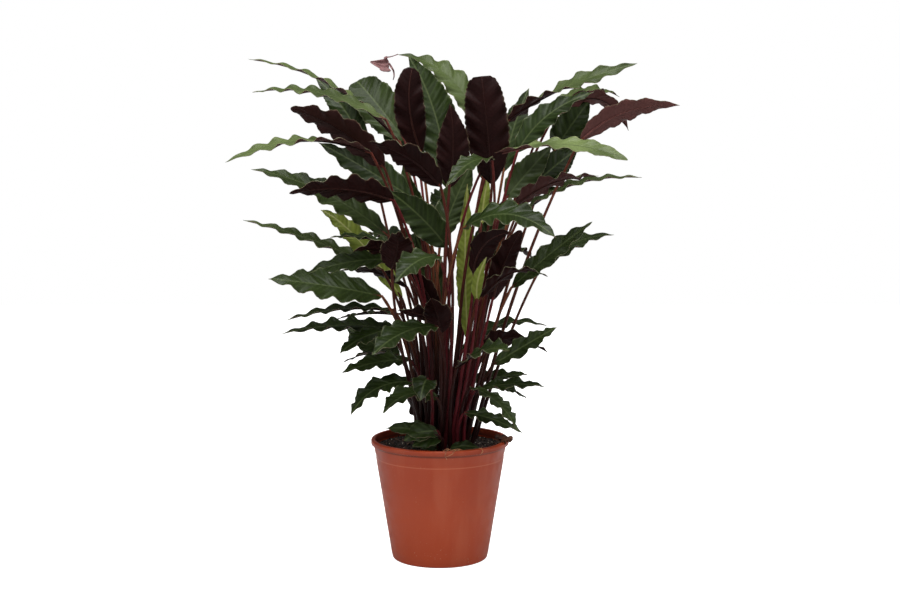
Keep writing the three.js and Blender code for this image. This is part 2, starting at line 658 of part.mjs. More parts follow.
function stalkCorners(radius) {
  return [150, 90, 30, -30, -90, -150].map((degrees) => {
    const angle = THREE.MathUtils.degToRad(degrees);
    return [radius * Math.cos(angle), radius * Math.sin(angle)];
  });
}

function bladeCorners(leaf, t) {
  const half = halfWidth(leaf, t);
  const left = lift(leaf, t, -1);
  const right = lift(leaf, t, 1);
  const edge = EDGE_THICKNESS / 2;
  const rib = RIB_THICKNESS / 2;
  return [
    [-half, left + edge],
    [0, rib],
    [half, right + edge],
    [half, right - edge],
    [0, -rib],
    [-half, left - edge],
  ];
}

// Places along a stalk from its foot in the soil to the blade. The blade's frame is carried
// down without twist.
function stalkPlaces(leaf) {
  const control = stalkControl(leaf);
  const foot = onRay(leaf.crown, CROWN_HEIGHT - ROOT_DEPTH);
  const start = bladeFrame(leaf, 0);
  const places = [];
  let way = start.way;
  const side = start.side;
  const carry = (at, next, radius) => {
    side.applyQuaternion(new THREE.Quaternion().setFromUnitVectors(way, next));
    way = next;
    places.unshift({ at, radius, side: side.clone(), up: side.clone().cross(way), way });
  };
  for (let i = STALK_PARTS; i >= 0; i--) {
    const u = i / STALK_PARTS;
    const at = bend(leaf.crown, control, leaf.base, u);
    carry(at, bendWay(leaf.crown, control, leaf.base, u), stalkRadius(u));
  }
  carry(foot, leaf.crown.clone().sub(foot).normalize(), ROOT_RADIUS);
  return places;
}

function stalkRing(place, extra) {
  return ringPoints(place.at, place.side, place.up, stalkCorners(place.radius + extra));
}

function bladeRings(leaf) {
  const rings = [];
  for (let i = 1; i < leaf.waves; i++) {
    const t = i / leaf.waves;
    const frame = bladeFrame(leaf, t);
    rings.push(ringPoints(frame.at, frame.side, frame.up, bladeCorners(leaf, t)));
  }
  return rings;
}

// A closed tube through rings of six points. A leaf's tube ends in one point.
function tubeGeometry(rings, tip) {
  const points = rings.flat();
  const triangles = [];
  for (let i = 1; i < 5; i++) {
    triangles.push([0, i + 1, i]);
  }
  for (let ring = 1; ring < rings.length; ring++) {
    for (let i = 0; i < 6; i++) {
      const j = (i + 1) % 6;
      const [a, b] = [6 * ring - 6 + i, 6 * ring - 6 + j];
      const [c, d] = [6 * ring + i, 6 * ring + j];
      // The under side is split along the same lines as the upper side.
      if (i < 3) {
        triangles.push([a, b, d], [a, d, c]);
      } else {
        triangles.push([a, b, c], [b, d, c]);
      }
    }
  }
  const last = 6 * rings.length - 6;
  if (!tip) {
    for (let i = 1; i < 5; i++) {
      triangles.push([last, last + i, last + i + 1]);
    }
    return geometryOf(points, triangles);
  }
  points.push(tip);
  for (let i = 0; i < 6; i++) {
    triangles.push([last + i, last + ((i + 1) % 6), points.length - 1]);
  }
  return geometryOf(points, triangles);
}

// A hole goes round the foot of a stalk and on to its crown.
function holeGeometry(leaf) {
  const [foot, crown] = stalkPlaces(leaf);
  foot.at.addScaledVector(foot.way, -HOLE_GAP);
  return tubeGeometry([stalkRing(foot, HOLE_GAP), stalkRing(crown, HOLE_GAP)]);
}

// Only the first leaf of a shoot has a foot in the soil.
function leafGeometry(leaf) {
  const places = stalkPlaces(leaf).slice(leaf === leaf.lead ? 0 : 1);
  const stalk = places.map((place) => stalkRing(place, 0));
  return tubeGeometry([...stalk, ...bladeRings(leaf)], leaf.tip);
}

// ---------------------------------------------------------------- the whole plant

const leaves = [];
for (const [node, rows] of Object.entries(SHOOTS)) {
  leaves.push(...rows.map((row) => readLeaf(node, row)));
}
placeCrowns(leaves);
spread(leaves);
const shoots = new Map();
for (const leaf of leaves) {
  const solid = manifoldOf(leafGeometry(leaf));
  const joined = leaf === leaf.lead ? solid : shoots.get(leaf.lead).add(solid);
  shoots.set(leaf.lead, joined);
}
makePot();
makeSoil([...shoots.keys()].map(holeGeometry));
for (const [lead, solid] of shoots) {
  addMesh("leaf_" + lead.node, geometryFrom(solid), lead.colour, 0.5);
}

export default potted;
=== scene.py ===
"""Potted calathea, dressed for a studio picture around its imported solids.

Sizes are millimetres in this script until a mesh is made. +Z is up, -Y is the front, and the
origin is the middle of the pot's base. Each shoot of leaves replaces its solid with fine blades
on the same middle lines, with veins, pleats, finer waves and a raised midrib.
"""
import math

import bpy
import numpy as np
from mathutils import Euler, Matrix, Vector


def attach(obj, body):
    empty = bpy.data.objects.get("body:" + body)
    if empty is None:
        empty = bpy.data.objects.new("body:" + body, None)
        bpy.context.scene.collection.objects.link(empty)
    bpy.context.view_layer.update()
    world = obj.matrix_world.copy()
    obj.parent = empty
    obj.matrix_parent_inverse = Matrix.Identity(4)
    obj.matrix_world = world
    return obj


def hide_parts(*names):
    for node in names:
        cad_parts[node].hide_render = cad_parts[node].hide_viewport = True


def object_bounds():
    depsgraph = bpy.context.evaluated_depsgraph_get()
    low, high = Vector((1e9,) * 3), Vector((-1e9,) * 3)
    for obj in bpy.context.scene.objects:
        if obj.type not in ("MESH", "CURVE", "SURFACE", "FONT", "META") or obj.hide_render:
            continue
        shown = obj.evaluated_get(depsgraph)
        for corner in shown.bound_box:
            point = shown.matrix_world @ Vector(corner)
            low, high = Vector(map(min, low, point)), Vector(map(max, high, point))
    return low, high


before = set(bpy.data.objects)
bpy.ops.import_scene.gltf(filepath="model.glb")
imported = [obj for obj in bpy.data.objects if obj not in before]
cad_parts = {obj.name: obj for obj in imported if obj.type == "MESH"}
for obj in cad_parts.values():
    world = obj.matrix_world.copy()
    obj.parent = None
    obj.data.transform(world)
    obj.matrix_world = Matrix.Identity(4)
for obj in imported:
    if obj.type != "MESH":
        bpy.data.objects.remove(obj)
cad_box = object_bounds()

MM = 0.001
SEED = 7

# Camera, at the photograph's viewing angle
CAMERA_PLACE = (13.9, -2215.5, 609.2)
CAMERA_PITCH = 6.457
CAMERA_LENS = 65.15
SENSOR_WIDTH = 36

# Studio, in metres
FLOOR_SIZE = 6
FLOOR_DROP = 0.0003
PLANT_MIDDLE = (0, 0, 0.35)

# Pot and soil, as in the solids
POT_HEIGHT = 167
BASE_RADIUS = 66
RIM_RADIUS = 95
LIP_HEIGHT = 7.5
LIP_REACH = 3.5
WALL = 2
FLOOR = 3
STEP_DROP = 20
STEP_DEPTH = 0.8
DRAIN_RADIUS = 5
DRAIN_CIRCLE = 40
DRAIN_COUNT = 4
SOIL_TOP = 156
SOIL_MOUND = 3
GAP = 0.3

# Fine shape and look of pot and soil
POT_SIDES = 144
DRAIN_SIDES = 32
SHARP_ANGLE = 50
FOOT_ROUNDING = 2.5
BASE_HOLLOW = 0.8
LIP_ROLL = 1.2
LIP_EDGE = 2.4
# Height of a painted highlight along the pot's step
STEP_HIGHLIGHT = POT_HEIGHT - STEP_DROP - 5
SOIL_RINGS = 46
SOIL_SIDES = 160
MOUND_RADIUS = 50
SOIL_DIP = 0.8

# Stalks, as in the solids
CROWN_HEIGHT = SOIL_TOP + SOIL_MOUND + 3
ROOT_DEPTH = 24
FOCUS = np.array([0, 0, SOIL_TOP - 120.0])
CROWN_SPACING = 8.2
JOINED_SPACING = 3.4
CROWN_ROUNDS = 200
ROOT_RADIUS = 2.9
STALK_TOP_RADIUS = 1.7
STALK_TAPER = 1.5
STALK_BEND = 0.4
STALK_LEAN = 0.6

# Blades, as in the solids, but with blunter tips, somewhat stronger waves, and both edges of a
# blade that lies flat waving together
RIB_THICKNESS = 1.8
CORNER_TOLERANCE = 0.02
WIDEST_AT = 0.42
HALF_WAVE = 13.5
MOST_HALF_WAVES = 15
WAVE_SHARE = 0.085
WAVE_SWELL = 0.6
WAVE_REACH = 1.6
WAVE_VARIETY = 0.22
FOLD_SHARE = 0.12
FOLD_REACH = 1.5
BASE_ROUNDNESS = 0.7
BLUNTER = 1.6
BLUNT_CUT = 0.13
BLUNT_ENOUGH = 0.65
LYING = 0.82

# Fine shape of stalks and blades
STALK_SIDES = 12
STALK_RINGS = 18
RIB_RINGS = 22
RIB_TIP_RADIUS = 0.35
RIB_TAPER = 1.4
RIB_SINK = 0.3
RIB_END = 0.97
RIB_RISE = 0.07
SWELLING = 0.45
SWELLING_BELOW = 14
SWELLING_LENGTH = 9
ROWS_PER_WAVE = 9
SIDE_COLUMNS = 7
BARE_END = 0.006
RIB_GROOVE = 0.35
GROOVE_WIDTH = 1.2
SLANT = 0.85
PLEAT_GAP = 9
PLEAT_HEIGHT = 0.6
LOBE_DEPTH = 1.5
TIP_TOOTH = 1.8
RIPPLES_PER_WAVE = 2
RIPPLE_SHARE = 0.012
SMALL_RIPPLE_SHARE = 0.043
SMALL_LENGTH = 125
BLADE_THICKNESS = 0.7
EDGE_THICKNESS = 0.4
UV_SCALE = 100

# How pale a leaf is painted. Where the table lists no value, by chance up to MOST_BY_CHANCE, as
# its own tone; a listed value paints the light and shade that the leaf is seen in, and above
# WELL_LIT the leaf also gets a light midrib, painted light.
WELL_LIT = 0.7
MOST_BY_CHANCE = 0.06
FALLEN_LIGHT = 0.02
PLAIN = 0.5

# Dry leaf bits at the rim's right, root threads over its front, and a dried leaf tip
DRY_PLACE = (87, -24, 168)
DRY_SPREAD = (6, 7, 1.5)
DRY_REACH = (7, 7, 2.5)
DRY_BITS = 11
STRIP_COLUMNS = 17
STRIP_THICKNESS = 0.3
THREAD_RADII = (0.75, 0.35)
THREAD_SIDES = 8
ROOT_THREADS = [
    [(15, -80, 158), (13, -87, 164), (11, -91.5, 168.3), (9, -95, 167.6), (7, -96, 162),
     (10, -95.6, 156)],
    [(31, -80, 159), (28, -86, 166), (24, -90.3, 168.4), (20, -94, 168.1), (16, -95.8, 163),
     (9, -96.2, 160.5)],
    [(2, -84, 159), (9, -88, 164), (17, -90, 168), (25, -89, 169.5), (33, -86, 167)],
    [(-4, -86, 160), (4, -89, 166), (10, -90, 170), (16, -91, 168.2)],
    [(50, -70, 160), (53, -74, 167), (56, -77.5, 168.3), (58, -79, 164), (54, -80.5, 160)],
]
DRIED_TIP = [
    ([(-61, 151, 697), (-67, 150, 694.5), (-73, 149, 693), (-79, 148, 692)], (1.4, 1.2, 1.6, 3)),
    ([(-74, 147, 682.5), (-79.5, 147.5, 680.5), (-88, 147, 682.5), (-100.5, 145, 686)],
     (24, 21, 13, 2)),
    ([(-74, 146.5, 684), (-70, 146, 678), (-67, 146, 673), (-66.2, 146, 665), (-68, 146, 660)],
     (3, 3, 2.4, 1.8, 1)),
]

# The leaves of each shoot, under its name, and last the small leaves that lie on the soil. A row
# holds the kind, where it isn't green; the blade's base, middle and tip; its width; and the way
# that its upper side faces at the base and, where it differs, at the tip. A green or young leaf
# shows its upper side in front, and a burgundy one its under side. Named values may follow, on a
# further line where the row is long. "blunt" below 1 makes the tip broader. "slim" and "calm" are
# the shares kept of the width and of the waves' height. "light" says how pale the leaf is painted,
# where that isn't left to chance: it paints the light, sheen and shade that the leaf is seen in,
# besides its own tone.
SHOOTS = """
left_high
-56 60 573  -154 90 653  -272 115 689  42  -0.1 0.3 1  0 -0.22 1  slim=0.85 calm=0.8 light=0.45
-50 95 574  -92 125 628  -124 160 662  62  0.1 -0.9 0.45  -0.2 -0.8 0.6
  blunt=0.5 calm=0.7 light=0.1
left_second
-73 5 604  -163 15 640  -256 25 641  42  0 -0.35 1  0 -0.25 1  slim=0.82 calm=0.85 light=0.42
burgundy  -74 -30 539  -131 -50 590  -196 -65 619  48  0.1 0.75 0.65  0 0.6 0.8  blunt=0.7 light=0.2
-49 0 313  -130 5 323  -219 10 310  40  0 -0.3 1
left_back_dark
-103 110 558  -142 135 623  -181 160 663  38  -0.5 -0.4 0.7  -0.4 -0.2 0.9  light=0
-57 60 272  -97 80 289  -135 100 308  40  0 -0.8 0.5
left_long
-91 -45 560  -178 -75 577  -278 -95 549  44  0.1 0.35 1  -0.2 -0.55 0.85  calm=0.8 light=0.55
-78 -15 401  -168 -25 441  -265 -30 470  40  0 -0.25 1  slim=0.9 calm=0.9 light=0.2
-63 -30 349  -134 -40 351  -206 -50 337  38  0 -0.1 1
left_inner_green
-38 20 497  -98 20 535  -166 20 573  48  0 -0.85 0.5  0 -0.7 0.7  light=0
burgundy  -45 8 375  -90 10 396  -137 12 398  34  0 0.4 0.95
left_mid_long
-71 25 444  -162 30 505  -261 35 536  46  -0.2 -0.6 0.8  0 -0.4 0.9  light=0.12
-55 15 277  -95 15 283  -134 15 270  28  0 0.1 1  0 0 1
left_burgundy_big
burgundy  -60 -55 498  -123 -85 515  -193 -110 510  48  0 0.8 0.6  0 0.5 0.85  blunt=0.8
-48 -42 430  -98 -50 448  -145 -60 449  32  0 -0.15 1
-40 -32 281  -86 -45 279  -131 -65 268  36  0 -0.4 0.9
left_young
young  -53 60 354  -115 70 437  -168 80 478  36  0.3 -0.8 0.4  0.2 -0.7 0.6
-56 45 334  -104 60 333  -155 75 321  28  0 0.1 1  0 0 1
left_green_mid
burgundy  -47 -72 413  -81 -90 437  -112 -108 433  36  0 0.6 0.8  0 0.5 0.9
-53 -60 419  -117 -66 416  -184 -70 398  42  0 -0.5 0.85
left_bottom_long
burgundy  -62 -95 409  -54 -130 438  -51 -175 465  44  0 0.75 0.65
-34 -50 254  -84 -90 248  -116 -120 220  40  -0.3 -0.5 0.8  -0.5 -0.5 0.7
-15 -72 269  -20 -98 264  -24 -118 246  32  0 -0.7 0.7  0 -0.8 0.5
left_green_big
-76 -65 372  -148 -85 389  -222 -100 399  54  0 -0.65 0.75  0 -0.6 0.8
front_left_green
-3 -75 336  -45 -135 335  -83 -185 313  50  -0.3 -0.6 0.75  -0.3 -0.7 0.65  light=0
burgundy  2 -75 324  -3 -95 352  -11 -125 376  38  0 0.8 0.6
left_low_green
-69 -40 321  -102 -70 315  -132 -100 297  34  -0.3 -0.6 0.7
left_bottom
-3 -60 234  -42 -90 243  -72 -130 229  40  -0.2 -0.5 0.8  -0.3 -0.6 0.7
left_bottom_burgundy
burgundy  -12 62 168  -29 66 192  -50 70 219  42  0.4 0.7 0.5
soil_left_front
-2 -54 185  -36 -52 193  -73 -46 193  28  -0.1 -0.6 0.8  0 -0.6 0.8
-3 -62 190  -29 -70 189  -47 -72 178  26  -0.2 -0.8 0.5  -0.2 -0.8 0.4  light=0
3 -68 180  -17 -76 179  -37 -78 171  24  0 -0.7 0.7  0 -0.7 0.6  light=0
right_bottom
34 -52 212  70 -68 206  111 -88 191  34  0.2 -0.4 0.85  slim=0.84
right_droop
41 -45 248  77 -95 235  101 -130 204  38  0.5 -0.5 0.7  0.6 -0.6 0.4  slim=0.8
right_low_green
49 -30 240  95 -40 249  142 -48 247  36  0 -0.35 0.95  slim=0.78
72 -25 276  118 -40 307  156 -50 330  42  0.2 -0.7 0.7  0.1 -0.6 0.8  slim=0.68
right_low_small
62 50 229  95 70 223  124 85 206  30  0 -0.3 0.9  0.2 -0.3 0.9  slim=0.82
152 100 611  208 125 645  258 145 636  30  0 -0.3 0.95  light=0.35
back_low_right
39 52 235  85 75 240  126 90 240  34  0 -0.3 0.9
50 62 285  100 115 290  160 160 262  42  0.2 0.1 1  0.3 0.2 0.9
right_low_thin
31 40 283  87 60 315  152 80 312  32  0 -0.2 1
59 95 589  13 125 664  -62 150 697  44  0 -0.6 0.8  0 -0.45 0.9  light=0.33
front_right_low
23 -65 276  58 -115 306  90 -150 311  44  0.1 -0.5 0.85  0.1 -0.6 0.8
right_dark_upright
burgundy  61 -8 290  87 -24 309  117 -36 312  38  0.2 0.6 0.7
burgundy  71 -20 361  87 -25 413  109 -35 457  36  -0.3 0.85 0.3  blunt=0.7
burgundy  102 -25 489  151 -45 521  211 -55 530  40  0 0.6 0.8  0 0.1 1  light=0.4
right_green_mid
97 -10 377  149 -20 425  205 -25 468  42  0.1 -0.6 0.8  slim=0.82 light=0.1
young  112 10 478  184 5 517  275 0 526  34  0 -0.12 1  0 -0.2 1  light=0.3
right_mid_back
141 75 395  189 95 429  249 115 440  36  0 -0.4 0.9  0 -0.3 0.95
right_arching
burgundy  52 -45 363  98 -62 403  143 -78 398  34  0 0.3 0.95  0 0.2 1
69 -66 551  41 -110 550  9 -150 520  40  -0.2 -0.4 0.9  -0.2 -0.6 0.75
  slim=0.85 calm=0.8 light=0.06
front_right_green
30 -82 465  88 -132 486  145 -175 459  54  0 -0.55 0.85  0.2 -0.6 0.8  light=0
0 -104 429  -28 -146 426  -54 -184 403  46  -0.2 -0.6 0.8  -0.2 -0.7 0.7  light=0.04
right_burgundy_mid
burgundy  46 -60 395  59 -80 440  95 -95 459  34  0.7 0.6 0.3  0.3 0.6 0.7
young  50 -60 365  51 -75 394  62 -85 425  16  -0.2 -0.9 0.3
centre_young
young  39 28 296  35 36 407  38 45 516  28  0.35 -0.9 0.1
right_dark_green
90 -5 498  120 5 533  153 15 568  40  0 -0.9 0.4  light=0.2
105 0 560  146 -2 610  208 -5 641  40  0.1 -0.6 0.7  0.1 -0.5 0.8  light=0
right_dark_wide
119 30 505  155 45 537  192 60 564  46  0.2 -0.8 0.6  light=0
top_burgundy_right
burgundy  70 -45 518  62 -70 600  54 -70 671  62  0.1 0.98 0.1  0 0.98 0.2
  blunt=0.4 slim=0.93 calm=0.8
66 -40 556  158 -75 572  244 -100 552  46  0 0.15 1  0.1 -0.75 0.7
  blunt=0.8 slim=0.9 calm=0.55 light=0.75
top_burgundy_centre
burgundy  13 -60 515  18 -78 571  14 -85 624  44  0 0.97 0.2
top_burgundy_left
burgundy  2 -90 517  -40 -115 556  -90 -135 576  42  -0.2 0.7 0.7  -0.1 0.5 0.85
top_burgundy_upright
burgundy  -25 -20 559  -40 -42 622  -34 -42 679  46  -0.1 0.97 0.1  -0.1 0.97 0.2
  blunt=0.5 slim=0.9
right_top_wavy
90 35 600  165 40 645  272 45 681  54  -0.2 0.6 0.8  0.1 -0.8 0.65  slim=0.9 calm=0.8 light=0.27
88 55 531  103 75 592  125 95 648  38  -0.3 -0.8 0.4
young  57 35 459  61 42 493  68 50 532  16  0.2 -0.9 0.3
right_burgundy_back
burgundy  163 55 617  223 70 632  265 80 588  38  0.2 0.6 0.75  0.6 0.5 0.5
  slim=0.88 calm=0.7 light=0.7
159 70 559  183 75 595  210 80 632  46  0.2 -0.9 0.3
right_burgundy
burgundy  189 -15 576  246 -30 614  318 -45 623  44  0 0.75 0.65  slim=0.82 calm=0.6 light=0.78
top_green_back
13 60 506  -8 85 614  -45 105 693  60  -0.1 -0.95 0.25  -0.1 -0.9 0.4
centre_back_green
1 45 440  21 55 492  47 65 547  44  -0.2 -0.9 0.3  light=0.12
-14 40 441  -37 45 486  -51 50 544  34  -0.2 -0.9 0.3
centre_green
10 -20 432  -26 -42 475  -68 -50 510  44  -0.3 -0.8 0.5
burgundy  -2 -25 331  -26 -60 350  -54 -85 356  34  0 0.5 0.85
burgundy  -5 -26 344  -21 -25 378  -43 -35 406  28  0 0.8 0.6
back_low_left
-45 60 300  -90 120 305  -140 175 280  42  -0.2 0.1 1  -0.3 0.2 0.9
back_low_centre
5 70 262  -5 130 262  -20 190 232  40  0 0.1 1  0 0.3 0.9
1 75 343  -17 95 391  -39 105 444  44  -0.2 -0.9 0.3
back_mid_left
-40 92 420  -80 150 440  -135 205 425  48  -0.2 -0.1 1  -0.3 0.2 0.9
back_mid_right
50 80 400  95 150 418  140 215 395  48  0.2 -0.1 1  0.3 0.2 0.9
48 75 386  69 90 434  93 100 493  44  0.2 -0.9 0.3
back_mid_centre
8 85 455  10 150 490  5 225 500  50  0 -0.4 0.9  0 -0.2 1
back_high_left
-30 95 540  -65 160 585  -120 215 600  50  0 -0.5 0.85  -0.2 -0.1 1
back_high_right
60 100 520  95 165 565  150 225 580  50  0 -0.5 0.85  0.2 -0.1 1
fallen
0 -50 163  -18 -51 167.5  -38 -46 163  21  0 -0.6 0.8  0 -0.5 0.8
14 -50 162.5  33 -54 166.5  54 -50 163  19  0 -0.6 0.8  0 -0.5 0.8
"""

# ---- meshes


class Shell:
    """One closed skin: its points and faces, the place of each face's paint in the piece's
    materials, and for each point its place on the flat blade in millimetres, its tone, which on a
    leaf also paints the light and shade it is seen in, and how near it lies to a blade's edge."""

    def __init__(self, points, faces, paint=0, place=None, tone=PLAIN, rim=0):
        self.points = points
        self.faces = faces
        self.paint = np.zeros(sum(len(group) for group in faces)) + paint
        self.place = np.zeros((len(points), 2)) if place is None else place
        self.tone = np.zeros(len(points)) + tone
        self.rim = np.zeros(len(points)) + rim


def add_object(name, data):
    made = bpy.data.objects.new(name, data)
    bpy.context.scene.collection.objects.link(made)
    return made


def fill(data, name, values, kind=np.float32):
    data.foreach_set(name, values.astype(kind).ravel())


def make_piece(name, shells, materials, nodes=()):
    """One mesh object of several shells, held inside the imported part's box."""
    low, high = np.array(cad_box) / MM
    points = np.concatenate([shell.points for shell in shells])
    points = np.clip(points, low + 0.01 * (low < 0), high - 0.01)
    sizes, corners, places = [], [], []
    first = 0
    for shell in shells:
        for faces in shell.faces:
            corners.append((faces + first).ravel())
            sizes.append(np.full(len(faces), faces.shape[1]))
            places.append(shell.place[faces.ravel()])
        first += len(shell.points)
    sizes, corners = np.concatenate(sizes), np.concatenate(corners)
    paints = np.concatenate([shell.paint for shell in shells])
    mesh = bpy.data.meshes.new(name)
    mesh.vertices.add(len(points))
    mesh.loops.add(len(corners))
    mesh.polygons.add(len(sizes))
    fill(mesh.vertices, "co", points * MM)
    fill(mesh.loops, "vertex_index", corners, np.int32)
    fill(mesh.polygons, "loop_start", np.cumsum(sizes) - sizes, np.int32)
    fill(mesh.polygons, "material_index", paints, np.int32)
    fill(mesh.polygons, "use_smooth", np.ones(len(sizes)), bool)
    fill(mesh.uv_layers.new(name="Place").uv, "vector", np.concatenate(places) / UV_SCALE)
    for key in ("tone", "rim"):
        values = np.concatenate([getattr(shell, key) for shell in shells])
        fill(mesh.attributes.new(key, "FLOAT", "POINT").data, "value", values)
    mesh.update()
    mesh.validate()
    for material in materials:
        mesh.materials.append(material)
    piece = add_object(name, mesh)
    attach(piece, "root")
    for node in nodes:
        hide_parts(node)
    return piece


def grid_faces(rows, columns, closed=False):
    """Quads between the rows of a grid of points, also from the last column to the first."""
    row = np.arange(rows - 1)[:, None] * columns
    column = np.arange(columns if closed else columns - 1)[None]
    after = (column + 1) % columns
    quads = [row + column, row + after, row + columns + after, row + columns + column]
    return np.stack(quads, 2).reshape(-1, 4)


def fan_faces(ring, middle):
    """Triangles from the points of a ring to one point."""
    return np.stack([ring, np.roll(ring, -1), np.full(len(ring), middle)], 1)


def drum_faces(rings, sides):
    """The faces of a stack of rings, closed by fans to two further points."""
    start, count = np.arange(sides), rings * sides
    return [
        grid_faces(rings, sides, closed=True),
        fan_faces(start[::-1], count),
        fan_faces(start + count - sides, count + 1),
    ]


def edge_faces(rows, columns):
    """Quads that join two grids of points, the sides of a thin sheet, along their left, right,
    first and last edges."""
    count = rows * columns
    left, start = np.arange(rows) * columns, np.arange(columns)
    right, last = left + columns - 1, start + count - columns
    ends = [(left[:-1], left[1:]), (right[1:], right[:-1]), (start[1:], start[:-1]),
            (last[:-1], last[1:])]
    return [np.stack([one, other, other + count, one + count], 1) for one, other in ends]


def circle(sides):
    turn = 2 * math.pi * np.arange(sides) / sides
    return np.cos(turn), np.sin(turn)


def unit(vectors):
    return vectors / np.linalg.norm(vectors, axis=-1, keepdims=True)


# ---- leaf curves


def read_shoots(table):
    """The rows of each shoot, as lists of words. An indented line goes on with the row above."""
    shoots = {}
    for line in table.strip().splitlines():
        words = line.split()
        if line.startswith(" "):
            rows[-1] += words
        elif len(words) == 1:
            rows = shoots[line] = []
        else:
            rows.append(words if words[0].isalpha() else ["green", *words])
    return shoots


class Leaf:
    """One leaf's middle line, with the values of its row in the table."""

    def __init__(self, node, row, leads=False):
        pairs = [word.split("=") for word in row if "=" in word]
        named = {name: float(value) for name, value in pairs}
        numbers = [float(word) for word in row[1:] if "=" not in word]
        self.node = node
        self.leads = leads
        self.kind = "leaf_" + row[0]
        self.points = np.array(numbers[:9]).reshape(3, 3)
        self.width = numbers[9] * named.get("slim", 1)
        self.swing = numbers[9] * named.get("calm", 1)
        self.faces = np.array(numbers[10:]).reshape(-1, 3)[[0, -1]]
        self.light = named.get("light")
        self.bluntness = named.get("blunt", 1)
        self.end = 1 - BLUNT_CUT * (1 - self.bluntness) * (self.bluntness < BLUNT_ENOUGH)
        self.lies = unit(self.faces.sum(axis=0))[2] > LYING
        self.length = sum(np.linalg.norm(np.diff(self.points, axis=0), axis=1))
        self.ripple = SMALL_RIPPLE_SHARE if self.length < SMALL_LENGTH else RIPPLE_SHARE
        self.waves = min(MOST_HALF_WAVES, math.floor(self.length / HALF_WAVE + 0.5))
        share = (CROWN_HEIGHT - FOCUS[2]) / (self.points[0][2] - FOCUS[2])
        self.crown = FOCUS + share * (self.points[0] - FOCUS)

    def blade_curve(self):
        base, middle, tip = self.points
        return base, 2 * middle - (base + tip) / 2, tip

    def stalk_curve(self):
        base = self.points[0]
        rise = base - self.crown
        end = unit(unit(rise) + STALK_LEAN * bend(self.blade_curve(), 0)[1])
        return self.crown, base - STALK_BEND * np.linalg.norm(rise) * end, base

    def frame(self, t):
        """Middle line, way across to the right, and way that the upper side faces, at each t."""
        at, way = bend(self.blade_curve(), t)
        up = self.faces[0] + (self.faces[1] - self.faces[0]) * t[:, None]
        up = unit(up - np.sum(up * way, 1, keepdims=True) * way)
        return at, np.cross(way, up), up


def bend(curve, t):
    """Points of a curve with one control point, and the unit ways along it."""
    t = np.asarray(t)[..., None]
    start, control, end = curve
    points = (1 - t) ** 2 * start + 2 * t * (1 - t) * control + t**2 * end
    return points, unit((1 - t) * (control - start) + t * (end - control))


def place_crowns(leaves):
    """Keeps the crowns of two shoots apart, and those of one shoot side by side."""
    for _ in range(CROWN_ROUNDS):
        for i, first in enumerate(leaves):
            for second in leaves[i + 1:]:
                together = first.node == second.node
                offset = second.crown[:2] - first.crown[:2]
                far = math.hypot(*offset)
                short = (JOINED_SPACING if together else CROWN_SPACING) - far
                if short > 0 or together and first.leads:
                    push = 0.5 * short / far
                    second.crown[:2] += push * offset
                    first.crown[:2] -= push * offset


def take_depths(leaf):
    """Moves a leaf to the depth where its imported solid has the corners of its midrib."""
    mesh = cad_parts["leaf_" + leaf.node].data
    corners = np.empty(3 * len(mesh.vertices), np.float32)
    mesh.vertices.foreach_get("co", corners)
    corners = np.unique(np.round(corners.reshape(-1, 3) / MM, 3), axis=0)
    rows, depths = [], []
    for ring in range(1, leaf.waves + 1):
        t = ring / leaf.waves
        weights = np.array([(1 - t) * (1 - 2 * t), 4 * t * (1 - t), t * (2 * t - 1)])
        x, _, z = weights @ leaf.points
        off = np.hypot(corners[:, 0] - x, corners[:, 2] - z)
        near = corners[off < RIB_THICKNESS / 2 + CORNER_TOLERANCE]
        middles = (near[:, None] + near[None]) / 2
        gaps = np.linalg.norm(near[:, None] - near[None], axis=2)
        wanted = RIB_THICKNESS if ring < leaf.waves else 0
        centred = np.hypot(middles[..., 0] - x, middles[..., 2] - z) < CORNER_TOLERANCE
        for depth in middles[centred & (abs(gaps - wanted) < CORNER_TOLERANCE)][:, 1]:
            rows.append(weights)
            depths.append(depth)
    if len(rows) > 2 and np.linalg.matrix_rank(rows) == 3:
        leaf.points[:, 1] = np.linalg.lstsq(rows, depths, rcond=None)[0]


# ---- leaf shells


def half_width(leaf, t):
    near = (1 - (1 - np.minimum(t / WIDEST_AT, 1)) ** 2) ** BASE_ROUNDNESS
    far = np.cos(0.5 * math.pi * np.clip((t - WIDEST_AT) / (leaf.end - WIDEST_AT), 0, 1))
    return 0.5 * leaf.width * np.where(t < WIDEST_AT, near, far**leaf.bluntness**BLUNTER)


def blade_lift(leaf, t, s, half, rng):
    """Height of the blade above its middle line: fold, waves of the edge, pleats and groove."""
    reach = np.abs(s)
    across = reach * half
    along = t * leaf.length
    swell = np.maximum(0, np.sin(math.pi * t)) ** WAVE_SWELL
    fold = FOLD_SHARE * half * reach**FOLD_REACH
    vary = 1 + WAVE_VARIETY * np.sin(rng.uniform(1.5, 3) * math.pi * t + rng.uniform(0, 6.3))
    turn = math.pi * (along + SLANT * (half - across)) / (leaf.length / leaf.waves)
    wave = WAVE_SHARE * vary * np.cos(turn)
    ripple = leaf.ripple * np.cos(RIPPLES_PER_WAVE * turn + rng.uniform(0, 6.3))
    wave = leaf.swing * swell * (wave + ripple)
    room = np.clip(across / 3, 0, 1) * (1 - 0.6 * reach**3) * np.clip(half / 18, 0.15, 1)
    pleat = PLEAT_HEIGHT * (beat(along - SLANT * across) - 0.6) * room * swell
    groove = -RIB_GROOVE * np.exp(-((across / GROOVE_WIDTH) ** 2)) * (1 - t)
    side = 1 if leaf.lies else np.sign(s)
    return fold + wave * side * reach**WAVE_REACH + pleat + groove


def beat(slanted):
    """1 between two side veins and 0 on each."""
    return np.abs(np.sin(math.pi * slanted / PLEAT_GAP)) ** 0.75


